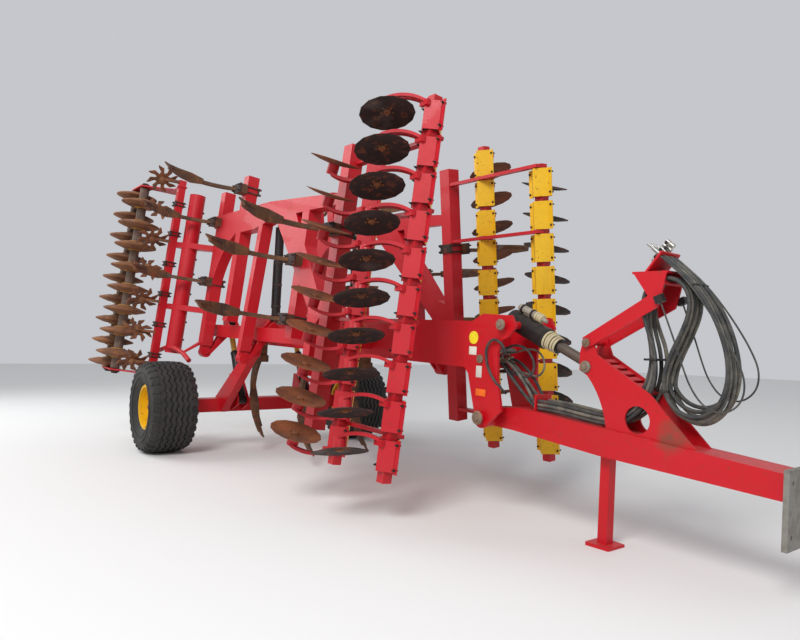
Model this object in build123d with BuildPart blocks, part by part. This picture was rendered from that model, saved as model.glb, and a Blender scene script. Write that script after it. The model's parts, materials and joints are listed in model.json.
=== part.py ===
from build123d import *
from math import atan2, cos, hypot, radians, sin, tan
import os

# Folded combination cultivator, in millimetres.
# X points forward to the hitch plate, Y to the machine's left and Z up, with the ground at Z = 0.
# Everything is drawn with the main frame level. The parked machine leans nose down about its
# transport axle by park_pitch, until the stand meets the ground.

# Stance and transport wheels
park_pitch = 2.3
fold_angle = 96.3
axle_x = -1955
tyre_radius = 466
tyre_width = 470
wheel_y = 1165
rim_radius = 216
rim_width = 330
rim_wall = 6
rim_dish = 70
hub_radius = 80
spindle_radius = 32
spindle_gap = 0.3

# Main frame
beam_width = 300
beam_height = 325
beam_bottom = 1135
beam_rear_x = axle_x - 350
beam_front_x = axle_x + 3520
rail_y = 520
rail_width = 120
rail_height = 130
rail_bottom = 1200
rail_rear_x = axle_x - 240
rail_front_x = axle_x + 2290
cross_tube = 130
cross_x = [axle_x - 40, axle_x + 440, axle_x + 1500, axle_x + 2190]
valve_block = (90, 180, 110)

# Wing hinge line along X
hinge_y = 700
hinge_z = 1026
hinge_x = [axle_x - 150, axle_x + 880, axle_x + 2200]
hinge_pin_radius = 25
hinge_eye_radius = 56
hinge_lug = 50
hinge_ear = 20
hinge_gap = 3
pin_clearance = 0.4
seat = 0.3

# Axle and its lift arms
axle_tube = 140
arm_y = 540
arm_width = 80
arm_gap = 4
arm_ear = 20
arm_pivot_x = axle_x + 740
arm_pivot_z = 1070
lift_y = 394
lift_top_x = axle_x - 230
lift_top_z = 1362
lift_foot_x = axle_x + 190
lift_foot_z = 530
lift_barrel_radius = 42
lift_rod_radius = 22
lift_pin_radius = 18

# Wing frame, drawn unfolded about its hinge line: X, outboard Y, Z above the hinge
wing_tube = 120
wing_tubes = [
    (axle_x + 2400, -450, 1800),
    (axle_x + 1850, 230, 1450),
    (axle_x + 420, 350, 1870),
    (axle_x - 170, 95, 1780),
]
arch_bottom = -60
arch_top = 50

# Disc gangs
disc_radius = 190
disc_thickness = 6
disc_pitch = 250
disc_angle = 17
disc_level = -285
disc_trail = 180
front_gang_x = axle_x + 3414
rear_gang_x = axle_x + 2807
gang_tube = 70
gang_level = -37
gang_inner = -640
gang_end = 145
clamp_first = -465
clamp_length = 197
clamp_wall = 6
cover_length = 215
cover_thickness = 8
cover_flange = 20
rubber_radius = 13
disc_hub = 42
disc_arm = 22
gang_arms = [-340, 410, 1160, 1660]
gang_arm_height = 56
gang_arm_width = 25

# Tines
tine_drop = 850
tine_bulge = 170
tine_lead = 110
tine_depth = 56
tine_width = 32
blade_thickness = 12
blade_sections = [(0.44, 56, 0), (0.58, 104, 6), (0.74, 96, 20), (0.88, 88, 34), (1.0, 66, 44)]
tine_clamp = 150
clamp_drop = 70
wing_tines = [(0, 1100), (1, 380), (1, 890), (2, 1720), (3, 765), (3, 1430)]
centre_tine_level = 1035
centre_tine_places = [(440, 300), (440, -300), (-250, 0), (1500, 300), (1500, -300)]

# Packer rollers and levelling stars
packer_x = axle_x - 500
packer_level = -230
packer_radius = 85
packer_inner = -60
packer_outer = 1740
packer_arms = [450, 1150]
packer_arm_width = 60
roller_level = -660
front_roller_x = axle_x - 1100
rear_roller_x = axle_x - 1400
ring_radius = 228
ring_pitch = 250
ring_half = 46
ring_body = (85, 40)
spacer_radius = 50
stub_radius = 20
ring_rim = 7
front_ring_first = -145
rear_ring_first = -270
front_rings = 8
rear_rings = 9
roller_inner = -330
roller_outer = 1800
star_beam_outer = 1880
end_plate = 14
star_beam = 76
star_beam_x = axle_x - 590
star_beam_level = -400
star_x = axle_x - 668
star_level = -600
star_pitch = 343
star_first = -200
star_count = 7
star_thickness = 12
star_angle = 50
star_fingers = 8
star_finger = [(66, 0), (130, 8), (174, 30), (144, 32), (88, 26)]

# Fold cylinders
fold_x = axle_x + 1030
fold_foot_y = 450
fold_foot_z = 1420
fold_head_y = 1460
fold_head_z = 95
fold_barrel_radius = 42
fold_rod_radius = 24
pin_radius = 25
eye_radius = 40
eye_gap = 4
eye_width = 88
ear_thickness = 16
rod_gap = 1
rod_end = 100
cylinder_top = 160
hoop_radius = 25
hoop = [
    (-1000, -337, -350), (-930, -157, -315), (-760, -61, -315), (-537, -11, -301), (-320, -1, -272),
    (-140, -42, -237), (0, -110, -209),
]

# Drawbar
pivot_x = axle_x + 3650
pivot_z = 815
headstock_y = 200
headstock_plate = 20
drawbar_width = 200
gusset_y = 80
gusset_thickness = 12
arm_pin_radius = 16
hitch_x = axle_x + 5530
plate_width = 320
plate_height = 360
plate_thickness = 25
plate_z = 661
bolt_circle = 340
bolt_radius = 11
draw_foot_x = axle_x + 3825
draw_foot_z = 1440
draw_head_x = axle_x + 4380
draw_head_z = 1210
draw_barrel_radius = 68
draw_barrel_length = 330
draw_rod_radius = 32
draw_barrel_tail = 115
draw_collar_radius = 50
draw_collar_length = 105
stand_x = axle_x + 4505
stand_size = 62
stand_gap = 1
stand_top = 880
foot_size = 156
foot_thickness = 16

# Hoses: six in the loop on the hose arm, side by side in Y, and two thin cables in wider loops
hose_radius = 11
hose_gap = 2
hose_count = 6
hose_channel_y = 50
hose_slack = [40, 18, 64, 0, 84, 26]
hose_route = [
    (4010, 916), (4150, 916), (4290, 906), (4430, 893), (4570, 893), (4690, 958), (4775, 1065),
    (4814, 1200), (4806, 1330), (4752, 1450), (4722, 1545), (4725, 1633), (4772, 1702), (4853, 1728),
    (4934, 1702), (4984, 1633), (4990, 1530), (4950, 1410), (4895, 1290), (4860, 1172), (4868, 1062),
    (4950, 972), (5065, 958), (5160, 1030), (5200, 1150), (5194, 1280), (5158, 1405), (5105, 1525),
    (5035, 1640), (4938, 1748), (4828, 1838),
]
cable_radius = 4.5
cable_route = [
    (4828.3, 84, 1837.8), (4911.6, 84, 1769.6), (5000, 88, 1684), (5082, 94, 1584), (5158, 98, 1476), (5226, 100, 1366),
    (5276, 102, 1254), (5262, 104, 1150), (5182, 106, 1086), (5086, 108, 1104), (5016, 110, 1186),
    (4972, 111, 1290), (4934, 112, 1398), (4893, 112, 1500), (4859, 112, 1586),
]
cable_stretch = {1: 0, 2: 46}
gate_thickness = 12
hose_bar = 10
hose_bar_y = 84
hook_x = axle_x + 4853
hook_z = 1693
hook_radius = 12
head_z = 1745
coupler_radius = 11
coupler_length = 62
rack_thickness = 12
junction = (46, 36, 40)


def park(piece):
    """Lean a piece of the level machine nose down about the transport axle."""
    return Pos(axle_x, 0, tyre_radius) * Rot(0, park_pitch, 0) * Pos(-axle_x, 0, -tyre_radius) * piece


def finish(piece, name):
    piece = park(piece)
    piece.label = name
    export_step(piece, "parts/" + name + ".step")


def fold(piece, side):
    """Place a left wing piece drawn unfolded on its hinge line: mirrored for the right, then folded."""
    if side < 0:
        piece = mirror(piece, about=Plane.XZ)
    return Pos(0, side * hinge_y, hinge_z) * Rot(side * fold_angle, 0, 0) * piece


def ground_z(x):
    """Height of the ground under the level machine."""
    return tyre_radius - (tyre_radius / cos(radians(park_pitch))) + (x - axle_x) * tan(radians(park_pitch))


os.makedirs("parts", exist_ok=True)
names = {1: "left", -1: "right"}

# Main frame: centre beam with its cross tubes
rail_top = rail_bottom + rail_height
beam_mid_z = beam_bottom + beam_height / 2
ear_inner = eye_width / 2 + eye_gap
with BuildPart() as main_frame:
    with Locations(((beam_rear_x + beam_front_x) / 2, 0, beam_mid_z)):
        Box(beam_front_x - beam_rear_x, beam_width, beam_height)
    rail_inner = rail_y - rail_width / 2
    for side in (-1, 1):
        with Locations(*[(x, side * (beam_width / 2 + rail_inner) / 2, rail_bottom + cross_tube / 2) for x in cross_x]):
            Box(cross_tube, rail_inner - beam_width / 2, cross_tube)
finish(main_frame.part, "main_frame")

# Side rails with the hinge ears, the fold cylinder ears, and the lift arm ears
with BuildPart() as side_rails:
    with Locations(*[((rail_rear_x + rail_front_x) / 2, side * rail_y, rail_bottom + rail_height / 2) for side in (-1, 1)]):
        Box(rail_front_x - rail_rear_x, rail_width, rail_height)
    ear_offset = hinge_lug / 2 + hinge_gap + hinge_ear / 2
    for x in hinge_x:
        for side in (-1, 1):
            for ear_x in (x - ear_offset, x + ear_offset):
                with BuildSketch(Plane.YZ.offset(ear_x - hinge_ear / 2)):
                    with BuildLine():
                        Polyline(
                            (side * rail_inner, rail_bottom + 5),
                            (side * (rail_y + rail_width / 2 - 20), rail_bottom + 5),
                            (side * (hinge_y - 62), hinge_z + 40),
                            (side * hinge_y, hinge_z),
                            (side * (hinge_y - 20), hinge_z - 52),
                            close=True,
                        )
                    make_face()
                    with Locations((side * hinge_y, hinge_z)):
                        Circle(hinge_eye_radius)
                extrude(amount=hinge_ear)
            with BuildSketch(Plane.YZ.offset(x - ear_offset - hinge_ear)):
                with Locations((side * hinge_y, hinge_z)):
                    Circle(hinge_pin_radius)
            extrude(amount=2 * ear_offset + 2 * hinge_ear)
    for y in (-arm_y, arm_y):
        for ear_y in (y - arm_width / 2 - arm_gap - arm_ear, y + arm_width / 2 + arm_gap):
            with BuildSketch(Plane.XZ.offset(-ear_y)):
                with BuildLine():
                    Polyline(
                        (arm_pivot_x - 110, rail_bottom + 5),
                        (arm_pivot_x + 110, rail_bottom + 5),
                        (arm_pivot_x + 42, arm_pivot_z - 28),
                        (arm_pivot_x - 42, arm_pivot_z - 28),
                        close=True,
                    )
                make_face()
                with Locations((arm_pivot_x, arm_pivot_z)):
                    Circle(50)
            extrude(amount=-arm_ear)
        with BuildSketch(Plane.XZ.offset(-y - arm_width / 2 - arm_gap - arm_ear)):
            with Locations((arm_pivot_x, arm_pivot_z)):
                Circle(pin_radius)
        extrude(amount=arm_width + 2 * arm_gap + 2 * arm_ear)
    for side in (-1, 1):
        for ear_x in (fold_x - ear_inner - ear_thickness, fold_x + ear_inner):
            with BuildSketch(Plane.YZ.offset(ear_x)):
                with BuildLine():
                    Polyline(
                        (side * rail_inner, rail_top - 5),
                        (side * (rail_y + rail_width / 2 - 20), rail_top - 5),
                        (side * (fold_foot_y + 34), fold_foot_z - 20),
                        (side * (fold_foot_y - 34), fold_foot_z - 20),
                        close=True,
                    )
                make_face()
                with Locations((side * fold_foot_y, fold_foot_z)):
                    Circle(eye_radius)
            extrude(amount=ear_thickness)
        with BuildSketch(Plane.YZ.offset(fold_x - ear_inner - ear_thickness)):
            with Locations((side * fold_foot_y, fold_foot_z)):
                Circle(pin_radius)
        extrude(amount=2 * ear_inner + 2 * ear_thickness)
finish(side_rails.part, "side_rails")

# Brackets of the lift cylinders, behind the rear cross tube
bracket_x = cross_x[0] - cross_tube / 2
with BuildPart() as lift_brackets:
    for y in (-lift_y, lift_y):
        for ear_y in (y - ear_inner - ear_thickness, y + ear_inner):
            with BuildSketch(Plane.XZ.offset(-ear_y)):
                with BuildLine():
                    Polyline(
                        (bracket_x, rail_bottom + 5),
                        (bracket_x, rail_top),
                        (lift_top_x + 20, lift_top_z + 45),
                        (lift_top_x - 45, lift_top_z + 30),
                        (lift_top_x - 35, lift_top_z - 40),
                        close=True,
                    )
                make_face()
            extrude(amount=-ear_thickness)
        with BuildSketch(Plane.XZ.offset(-y - ear_inner - ear_thickness)):
            with Locations((lift_top_x, lift_top_z)):
                Circle(lift_pin_radius)
        extrude(amount=2 * ear_inner + 2 * ear_thickness)
finish(lift_brackets.part, "lift_brackets")

# Headstock: two tapered side plates with horns for the drawbar cylinder, and the drawbar pin
headstock_outline = [
    (beam_front_x - 60, beam_bottom + 10),
    (beam_front_x - 60, beam_bottom + beam_height - 60),
    (beam_front_x + 20, beam_bottom + beam_height + 6),
    (beam_front_x + 109, draw_foot_z + 70),
    (draw_foot_x + 61, draw_foot_z + 62),
    (draw_foot_x + 100, draw_foot_z - 10),
    (draw_foot_x + 45, draw_foot_z - 75),
    (draw_foot_x - 20, draw_foot_z - 107),
    (draw_foot_x - 45, draw_foot_z - 180),
    (draw_foot_x - 40, beam_bottom - 60),
    (draw_foot_x + 5, pivot_z + 66),
    (pivot_x + 60, pivot_z - 36),
    (pivot_x - 50, pivot_z - 36),
    (beam_front_x - 15, beam_bottom - 35),
]
with BuildPart() as headstock:
    for y in (-headstock_y, headstock_y - headstock_plate):
        with BuildSketch(Plane.XZ.offset(-y)):
            with BuildLine():
                Polyline(*headstock_outline, close=True)
            make_face()
            with Locations((pivot_x, pivot_z)):
                Circle(70)
        extrude(amount=-headstock_plate)
    with Locations((beam_front_x + 10, 0, beam_mid_z)):
        Box(20, 2 * headstock_y - 2 * headstock_plate, beam_height)
    with Locations((beam_front_x + 20 + valve_block[0] / 2, 0, beam_mid_z - 65)):
        Box(*valve_block)
    for x, z, radius in ((pivot_x, pivot_z, 30), (draw_foot_x, draw_foot_z, pin_radius)):
        with BuildSketch(Plane.XZ.offset(-headstock_y - 30)):
            with Locations((x, z)):
                Circle(radius)
        extrude(amount=2 * headstock_y + 60)
finish(headstock.part, "headstock")

# Transport axle with its two lift arms and the cylinder ears
with BuildPart() as axle:
    with Locations((axle_x, 0, tyre_radius)):
        Box(axle_tube, 2 * wheel_y - tyre_width - 120, axle_tube)
    with BuildSketch(Plane.XZ.offset(-wheel_y - 60)):
        with Locations((axle_x, tyre_radius)):
            Circle(spindle_radius)
    extrude(amount=2 * wheel_y + 120)
    for y in (-arm_y, arm_y):
        with BuildSketch(Plane.XZ.offset(-y - arm_width / 2)):
            with BuildLine():
                Polyline(
                    (axle_x - 90, tyre_radius + 70),
                    (axle_x + 90, tyre_radius - 70),
                    (arm_pivot_x + 30, arm_pivot_z - 52),
                    (arm_pivot_x - 30, arm_pivot_z + 52),
                    close=True,
                )
            make_face()
            with Locations((arm_pivot_x, arm_pivot_z)):
                Circle(60)
                Circle(pin_radius + pin_clearance, mode=Mode.SUBTRACT)
        extrude(amount=arm_width)
    for y in (-lift_y, lift_y):
        for ear_y in (y - ear_inner - ear_thickness, y + ear_inner):
            with BuildSketch(Plane.XZ.offset(-ear_y)):
                with BuildLine():
                    Polyline(
                        (axle_x - 60, tyre_radius + 60),
                        (axle_x + 60, tyre_radius - 60),
                        (lift_foot_x + 45, lift_foot_z - 45),
                        (lift_foot_x + 45, lift_foot_z + 40),
                        (axle_x + 40, tyre_radius + 330),
                        (axle_x - 20, tyre_radius + 330),
                        close=True,
                    )
                make_face()
            extrude(amount=-ear_thickness)
        with BuildSketch(Plane.XZ.offset(-y - ear_inner - ear_thickness)):
            with Locations((lift_foot_x, lift_foot_z)):
                Circle(lift_pin_radius)
        extrude(amount=2 * ear_inner + 2 * ear_thickness)
finish(axle.part, "axle_frame")

# Lift cylinders between the axle ears and the rear brackets of the main frame
lift_length = hypot(lift_top_z - lift_foot_z, lift_top_x - lift_foot_x)
with BuildPart() as lift_cylinders:
    for y in (-lift_y, lift_y):
        lift_plane = Plane(
            origin=(lift_foot_x, y, lift_foot_z),
            x_dir=(0, 1, 0),
            z_dir=(lift_top_x - lift_foot_x, 0, lift_top_z - lift_foot_z),
        )
        with BuildSketch(lift_plane.offset(30)):
            Circle(lift_barrel_radius)
        extrude(amount=lift_length * 0.56)
        with BuildSketch(lift_plane.offset(30)):
            Circle(lift_rod_radius)
        extrude(amount=lift_length - 60)
        with BuildSketch(Plane.XZ.offset(-y - eye_width / 2)):
            with Locations((lift_foot_x, lift_foot_z), (lift_top_x, lift_top_z)):
                Circle(eye_radius)
        extrude(amount=eye_width)
        with BuildSketch(Plane.XZ.offset(-y - eye_width / 2)):
            with Locations((lift_foot_x, lift_foot_z), (lift_top_x, lift_top_z)):
                Circle(lift_pin_radius + pin_clearance)
        extrude(amount=eye_width, mode=Mode.SUBTRACT)
finish(lift_cylinders.part, "lift_cylinders")


# Tine under its clamp at the origin: C-shaped shank, and a leaf blade that twists towards its tip
tine_tip = (tine_lead, -tine_drop)
tine_belly = (-tine_bulge, -tine_drop * 0.48)
with BuildPart() as tine:
    with Locations((0, 0, -clamp_drop / 2)):
        Box(tine_clamp, 90, clamp_drop)
    with BuildSketch(Plane.XZ.offset(-tine_width / 2)):
        with BuildLine():
            half = tine_depth / 2
            outer = ThreePointArc((-half, -20), (tine_belly[0] - half, tine_belly[1]), (tine_tip[0] - 74, tine_tip[1] + 40))
            inner = ThreePointArc((half, -20), (tine_belly[0] + half, tine_belly[1]), (tine_tip[0] - 26, tine_tip[1] + 46))
            Line(outer @ 0, inner @ 0)
            Line(outer @ 1, inner @ 1)
        make_face()
    extrude(amount=tine_width)
with BuildLine(Plane.XZ):
    face_line = ThreePointArc((half, -20), (tine_belly[0] + half, tine_belly[1]), (tine_tip[0] - 2, tine_tip[1] + 8))
with BuildPart() as tine_blade:
    for place, width, twist in blade_sections:
        spot = face_line @ place
        along = face_line % place
        turn = radians(twist)
        across = Vector(along.Z * sin(turn), cos(turn), -along.X * sin(turn))
        rise = blade_thickness / 2 - 3
        with BuildSketch(Plane(origin=spot + Vector(-along.Z, 0, along.X) * rise, x_dir=across, z_dir=along)):
            Rectangle(width, blade_thickness)
    loft(ruled=True)
whole_tine = tine.part + tine_blade.part

with BuildPart() as centre_tines:
    for x, y in centre_tine_places:
        hanger_top = beam_bottom if y == 0 else rail_bottom
        with Locations((axle_x + x, y, centre_tine_level)):
            add(whole_tine)
        with Locations((axle_x + x, y, (centre_tine_level + hanger_top) / 2)):
            Box(110, 76, hanger_top - centre_tine_level)
finish(centre_tines.part, "centre_tines")

# Wheels: tyre and dished rim on a plain spindle
for side in (1, -1):
    wheel_plane = Plane(origin=(axle_x, side * wheel_y, tyre_radius), x_dir=(0, side, 0), z_dir=(1, 0, 0))
    half = tyre_width / 2
    with BuildPart() as tyre:
        with BuildSketch(wheel_plane):
            with BuildLine():
                wall = [(rim_width / 2, rim_radius), (half - 22, rim_radius + 46), (half, rim_radius + 112)]
                wall += [(half - 8, tyre_radius - 76), (half - 34, tyre_radius - 30), (half - 78, tyre_radius - 8)]
                Polyline(*[(-u, v) for u, v in wall], (0, tyre_radius), *reversed(wall), close=True)
            make_face()
        revolve(axis=Axis((axle_x, 0, tyre_radius), (0, 1, 0)))
    finish(tyre.part, names[side] + "_tyre")
    with BuildPart() as rim:
        with BuildSketch(wheel_plane):
            with BuildLine():
                Polyline(
                    (-rim_width / 2 - 12, rim_radius + 10),
                    (-rim_width / 2 - 12, rim_radius),
                    (-rim_width / 2, rim_radius - 0.5),
                    (rim_width / 2, rim_radius - 0.5),
                    (rim_width / 2 + 12, rim_radius),
                    (rim_width / 2 + 12, rim_radius + 10),
                    (rim_width / 2 + 18, rim_radius + 10),
                    (rim_width / 2 + 18, rim_radius - 10),
                    (rim_width / 2, rim_radius - 14),
                    (rim_dish + 12, rim_radius - 16),
                    (rim_dish - 20, 120),
                    (rim_dish + 40, 70),
                    (rim_dish + 40, 0),
                    (rim_dish + 28, 0),
                    (rim_dish + 28, spindle_radius + spindle_gap),
                    (-60, spindle_radius + spindle_gap),
                    (-60, hub_radius),
                    (rim_dish - 40, hub_radius + 30),
                    (rim_dish - 10, rim_radius - 18),
                    (-rim_width / 2, rim_radius - 14),
                    (-rim_width / 2 - 18, rim_radius - 10),
                    (-rim_width / 2 - 18, rim_radius + 10),
                    close=True,
                )
            make_face()
        revolve(axis=Axis((axle_x, 0, tyre_radius), (0, 1, 0)))
    finish(rim.part, names[side] + "_rim")

# Wing frame: transverse tubes, the portal with its three legs, hinge eyes and tine clamps
with BuildPart() as wing_frame:
    for x, inner, outer in wing_tubes:
        with Locations((x, (inner + outer) / 2, 0)):
            Box(wing_tube, outer - inner, wing_tube)
    rear_hinge, mid_hinge, front_hinge = hinge_x
    with BuildSketch(Plane.XY.offset(arch_bottom)):
        with BuildLine():
            Polyline(
                (axle_x - 290, 1380),
                (axle_x - 290, 1520),
                (axle_x + 1100, 1510),
                (axle_x + 1910, 1450),
                (wing_tubes[0][0] - 55, 1410),
                (wing_tubes[0][0] - 55, 1320),
                (axle_x + 1910, 1330),
                (axle_x + 1150, 1330),
                (axle_x + 800, 1270),
                (axle_x + 350, 1270),
                (axle_x - 100, 1380),
                close=True,
            )
        make_face()
        with BuildLine():
            bend = ThreePointArc((rear_hinge + 50, 300), (axle_x + 30, 1010), (axle_x + 350, 1270))
            Polyline(
                bend @ 1,
                (wing_tubes[3][0] - wing_tube / 2, 1450),
                (wing_tubes[3][0] - wing_tube / 2, 300),
                (rear_hinge - 50, 70),
                (rear_hinge + 45, 70),
                bend @ 0,
            )
        make_face()
        with BuildLine():
            Polyline(
                (mid_hinge - 45, 70),
                (mid_hinge + 40, 70),
                (axle_x + 1000, 1300),
                (axle_x + 915, 1300),
                close=True,
            )
        make_face()
        with BuildLine():
            Polyline(
                (axle_x + 1250, 1345),
                (axle_x + 1650, 1345),
                (front_hinge + 30, 640),
                (wing_tubes[0][0] - 55, 600),
                (wing_tubes[0][0] - 55, 420),
                (front_hinge + 60, 340),
                (front_hinge + 50, 70),
                (front_hinge - 50, 70),
                (front_hinge - 60, 470),
                close=True,
            )
        make_face()
    extrude(amount=arch_top - arch_bottom)
    for x in hinge_x:
        with BuildSketch(Plane.YZ.offset(x - hinge_lug / 2)):
            Circle(hinge_eye_radius)
            with Locations((60, -5)):
                Rectangle(120, arch_top - arch_bottom - 6)
        extrude(amount=hinge_lug)
    for x in hinge_x:
        with BuildSketch(Plane.YZ.offset(x - hinge_lug / 2 - 1)):
            Circle(hinge_pin_radius + pin_clearance)
        extrude(amount=hinge_lug + 2, mode=Mode.SUBTRACT)
    for ear_x in (fold_x - ear_inner - ear_thickness, fold_x + ear_inner):
        with BuildSketch(Plane.YZ.offset(ear_x)):
            with BuildLine():
                Polyline(
                    (fold_head_y - 90, arch_top - 10),
                    (fold_head_y + 50, arch_top - 10),
                    (fold_head_y + 36, fold_head_z + 20),
                    (fold_head_y - 36, fold_head_z + 20),
                    close=True,
                )
            make_face()
            with Locations((fold_head_y, fold_head_z)):
                Circle(eye_radius)
                Circle(pin_radius, mode=Mode.SUBTRACT)
        extrude(amount=ear_thickness)

with BuildPart() as wing_tine_set:
    with Locations(*[(wing_tubes[row][0], y, -wing_tube / 2) for row, y in wing_tines]):
        add(whole_tine)

for side in (1, -1):
    finish(fold(wing_frame.part, side), names[side] + "_wing_frame")
    finish(fold(wing_tine_set.part, side), names[side] + "_tines")

# Disc gangs: two square tubes on four flat arms, which fit the rows of nine and ten discs
gang_rows = {
    1: [(front_gang_x, 9, -1), (rear_gang_x, 10, 1)],
    -1: [(front_gang_x, 10, 1), (rear_gang_x, 9, -1)],
}
clamp_inner = gang_tube * 2 ** 0.5 + 2 * seat
clamp_outer = clamp_inner + 2 * clamp_wall
clamp_corner = clamp_outer / 2 ** 0.5
for side in (1, -1):
    with BuildPart() as gang_frame:
        for x, count, lean in gang_rows[side]:
            outer = clamp_first + disc_pitch * (count - 1) + gang_end
            with Locations((x, (gang_inner + outer) / 2, gang_level)):
                Box(gang_tube, outer - gang_inner, gang_tube)
        arm_rear_x = wing_tubes[0][0] + wing_tube / 2
        arm_front_x = front_gang_x + gang_tube / 2
        arm_z = gang_level + gang_tube / 2 + gang_arm_height / 2
        with Locations(*[((arm_rear_x + arm_front_x) / 2, y, arm_z) for y in gang_arms]):
            Box(arm_front_x - arm_rear_x, gang_arm_width, gang_arm_height)
    finish(fold(gang_frame.part, side), names[side] + "_gang_frame")

# One square clamp set diagonally on the tube, one V cover with its bolt flanges, one disc with its two
# spring arms. A disc leans one way in the front row and the other way in the rear row.
with BuildPart() as clamp:
    with BuildSketch(Plane.XZ.offset(-clamp_length / 2)):
        Rectangle(clamp_outer, clamp_outer, rotation=45)
        Rectangle(clamp_inner, clamp_inner, rotation=45, mode=Mode.SUBTRACT)
    extrude(amount=clamp_length)
cover_inner = clamp_outer + 2 * seat
cover_outer = cover_inner + 2 * cover_thickness
with BuildPart() as cover:
    with BuildSketch(Plane.XZ.offset(-cover_length / 2)):
        Rectangle(cover_outer, cover_outer, rotation=45)
        with Locations((0, cover_thickness / 2 + 2)):
            Rectangle(cover_outer * 2 ** 0.5 + 2 * cover_flange, cover_thickness)
        Rectangle(cover_inner, cover_inner, rotation=45, mode=Mode.SUBTRACT)
        with Locations((0, 2 - cover_outer)):
            Rectangle(3 * cover_outer, 2 * cover_outer, mode=Mode.SUBTRACT)
    extrude(amount=cover_length)
drop = disc_level - gang_level
with BuildPart() as disc_blade:
    lean_turn = radians(disc_angle)
    disc_plane = Plane(
        origin=(-disc_trail, 0, drop),
        x_dir=(cos(lean_turn), sin(lean_turn), 0),
        z_dir=(-sin(lean_turn), cos(lean_turn), 0),
    )
    with BuildSketch(disc_plane):
        Circle(disc_radius)
    extrude(amount=disc_thickness)
with BuildPart() as disc_arms:
    root_x = -20
    root_z = 20 - clamp_corner
    reach = hypot(disc_trail + root_x, drop - root_z)
    arm_plane = Plane(
        origin=(root_x, 0, root_z),
        x_dir=(-(disc_trail + root_x) / reach, 0, (drop - root_z) / reach),
        z_dir=((root_z - drop) / reach, 0, -(disc_trail + root_x) / reach),
    )
    for shift in (-disc_arm, disc_arm):
        with BuildSketch(arm_plane.offset(shift - disc_arm / 2)):
            with BuildLine():
                upper = ThreePointArc((-12, 96), (reach * 0.5, 128), (reach + 20, 90))
                lower = ThreePointArc((-12, 74), (reach * 0.5, 106), (reach + 20, 68))
                Line(upper @ 0, lower @ 0)
                Line(upper @ 1, lower @ 1)
            make_face()
        extrude(amount=disc_arm)
    with Locations((-8, 78, 6 - clamp_corner)):
        Box(80, 40, 28)
    with BuildSketch(disc_plane.offset(disc_thickness + seat)):
        Circle(disc_hub)
    extrude(amount=78)
    with BuildSketch(Plane.XZ.offset(-160)):
        Rectangle(clamp_outer + 2 * seat, clamp_outer + 2 * seat, rotation=45)
    extrude(amount=160, mode=Mode.SUBTRACT)
disc_blades = {1: disc_blade.part, -1: mirror(disc_blade.part, about=Plane.XZ)}
disc_holders = {1: disc_arms.part, -1: mirror(disc_arms.part, about=Plane.XZ)}
for side in (1, -1):
    places = {}
    for x, count, lean in gang_rows[side]:
        places[lean] = [(x, clamp_first + disc_pitch * index, gang_level) for index in range(count)]
    with BuildPart() as clamps:
        with Locations(*places[1], *places[-1]):
            add(clamp.part)
    finish(fold(clamps.part, side), names[side] + "_disc_clamps")
    with BuildPart() as covers:
        with Locations(*places[1], *places[-1]):
            add(cover.part)
    finish(fold(covers.part, side), names[side] + "_clamp_covers")
    with BuildPart() as discs:
        for lean, blade in disc_blades.items():
            with Locations(*places[lean]):
                add(blade)
    finish(fold(discs.part, side), names[side] + "_discs")
    with BuildPart() as arms:
        for lean, holder in disc_holders.items():
            with Locations(*places[lean]):
                add(holder)
    finish(fold(arms.part, side), names[side] + "_disc_arms")

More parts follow.
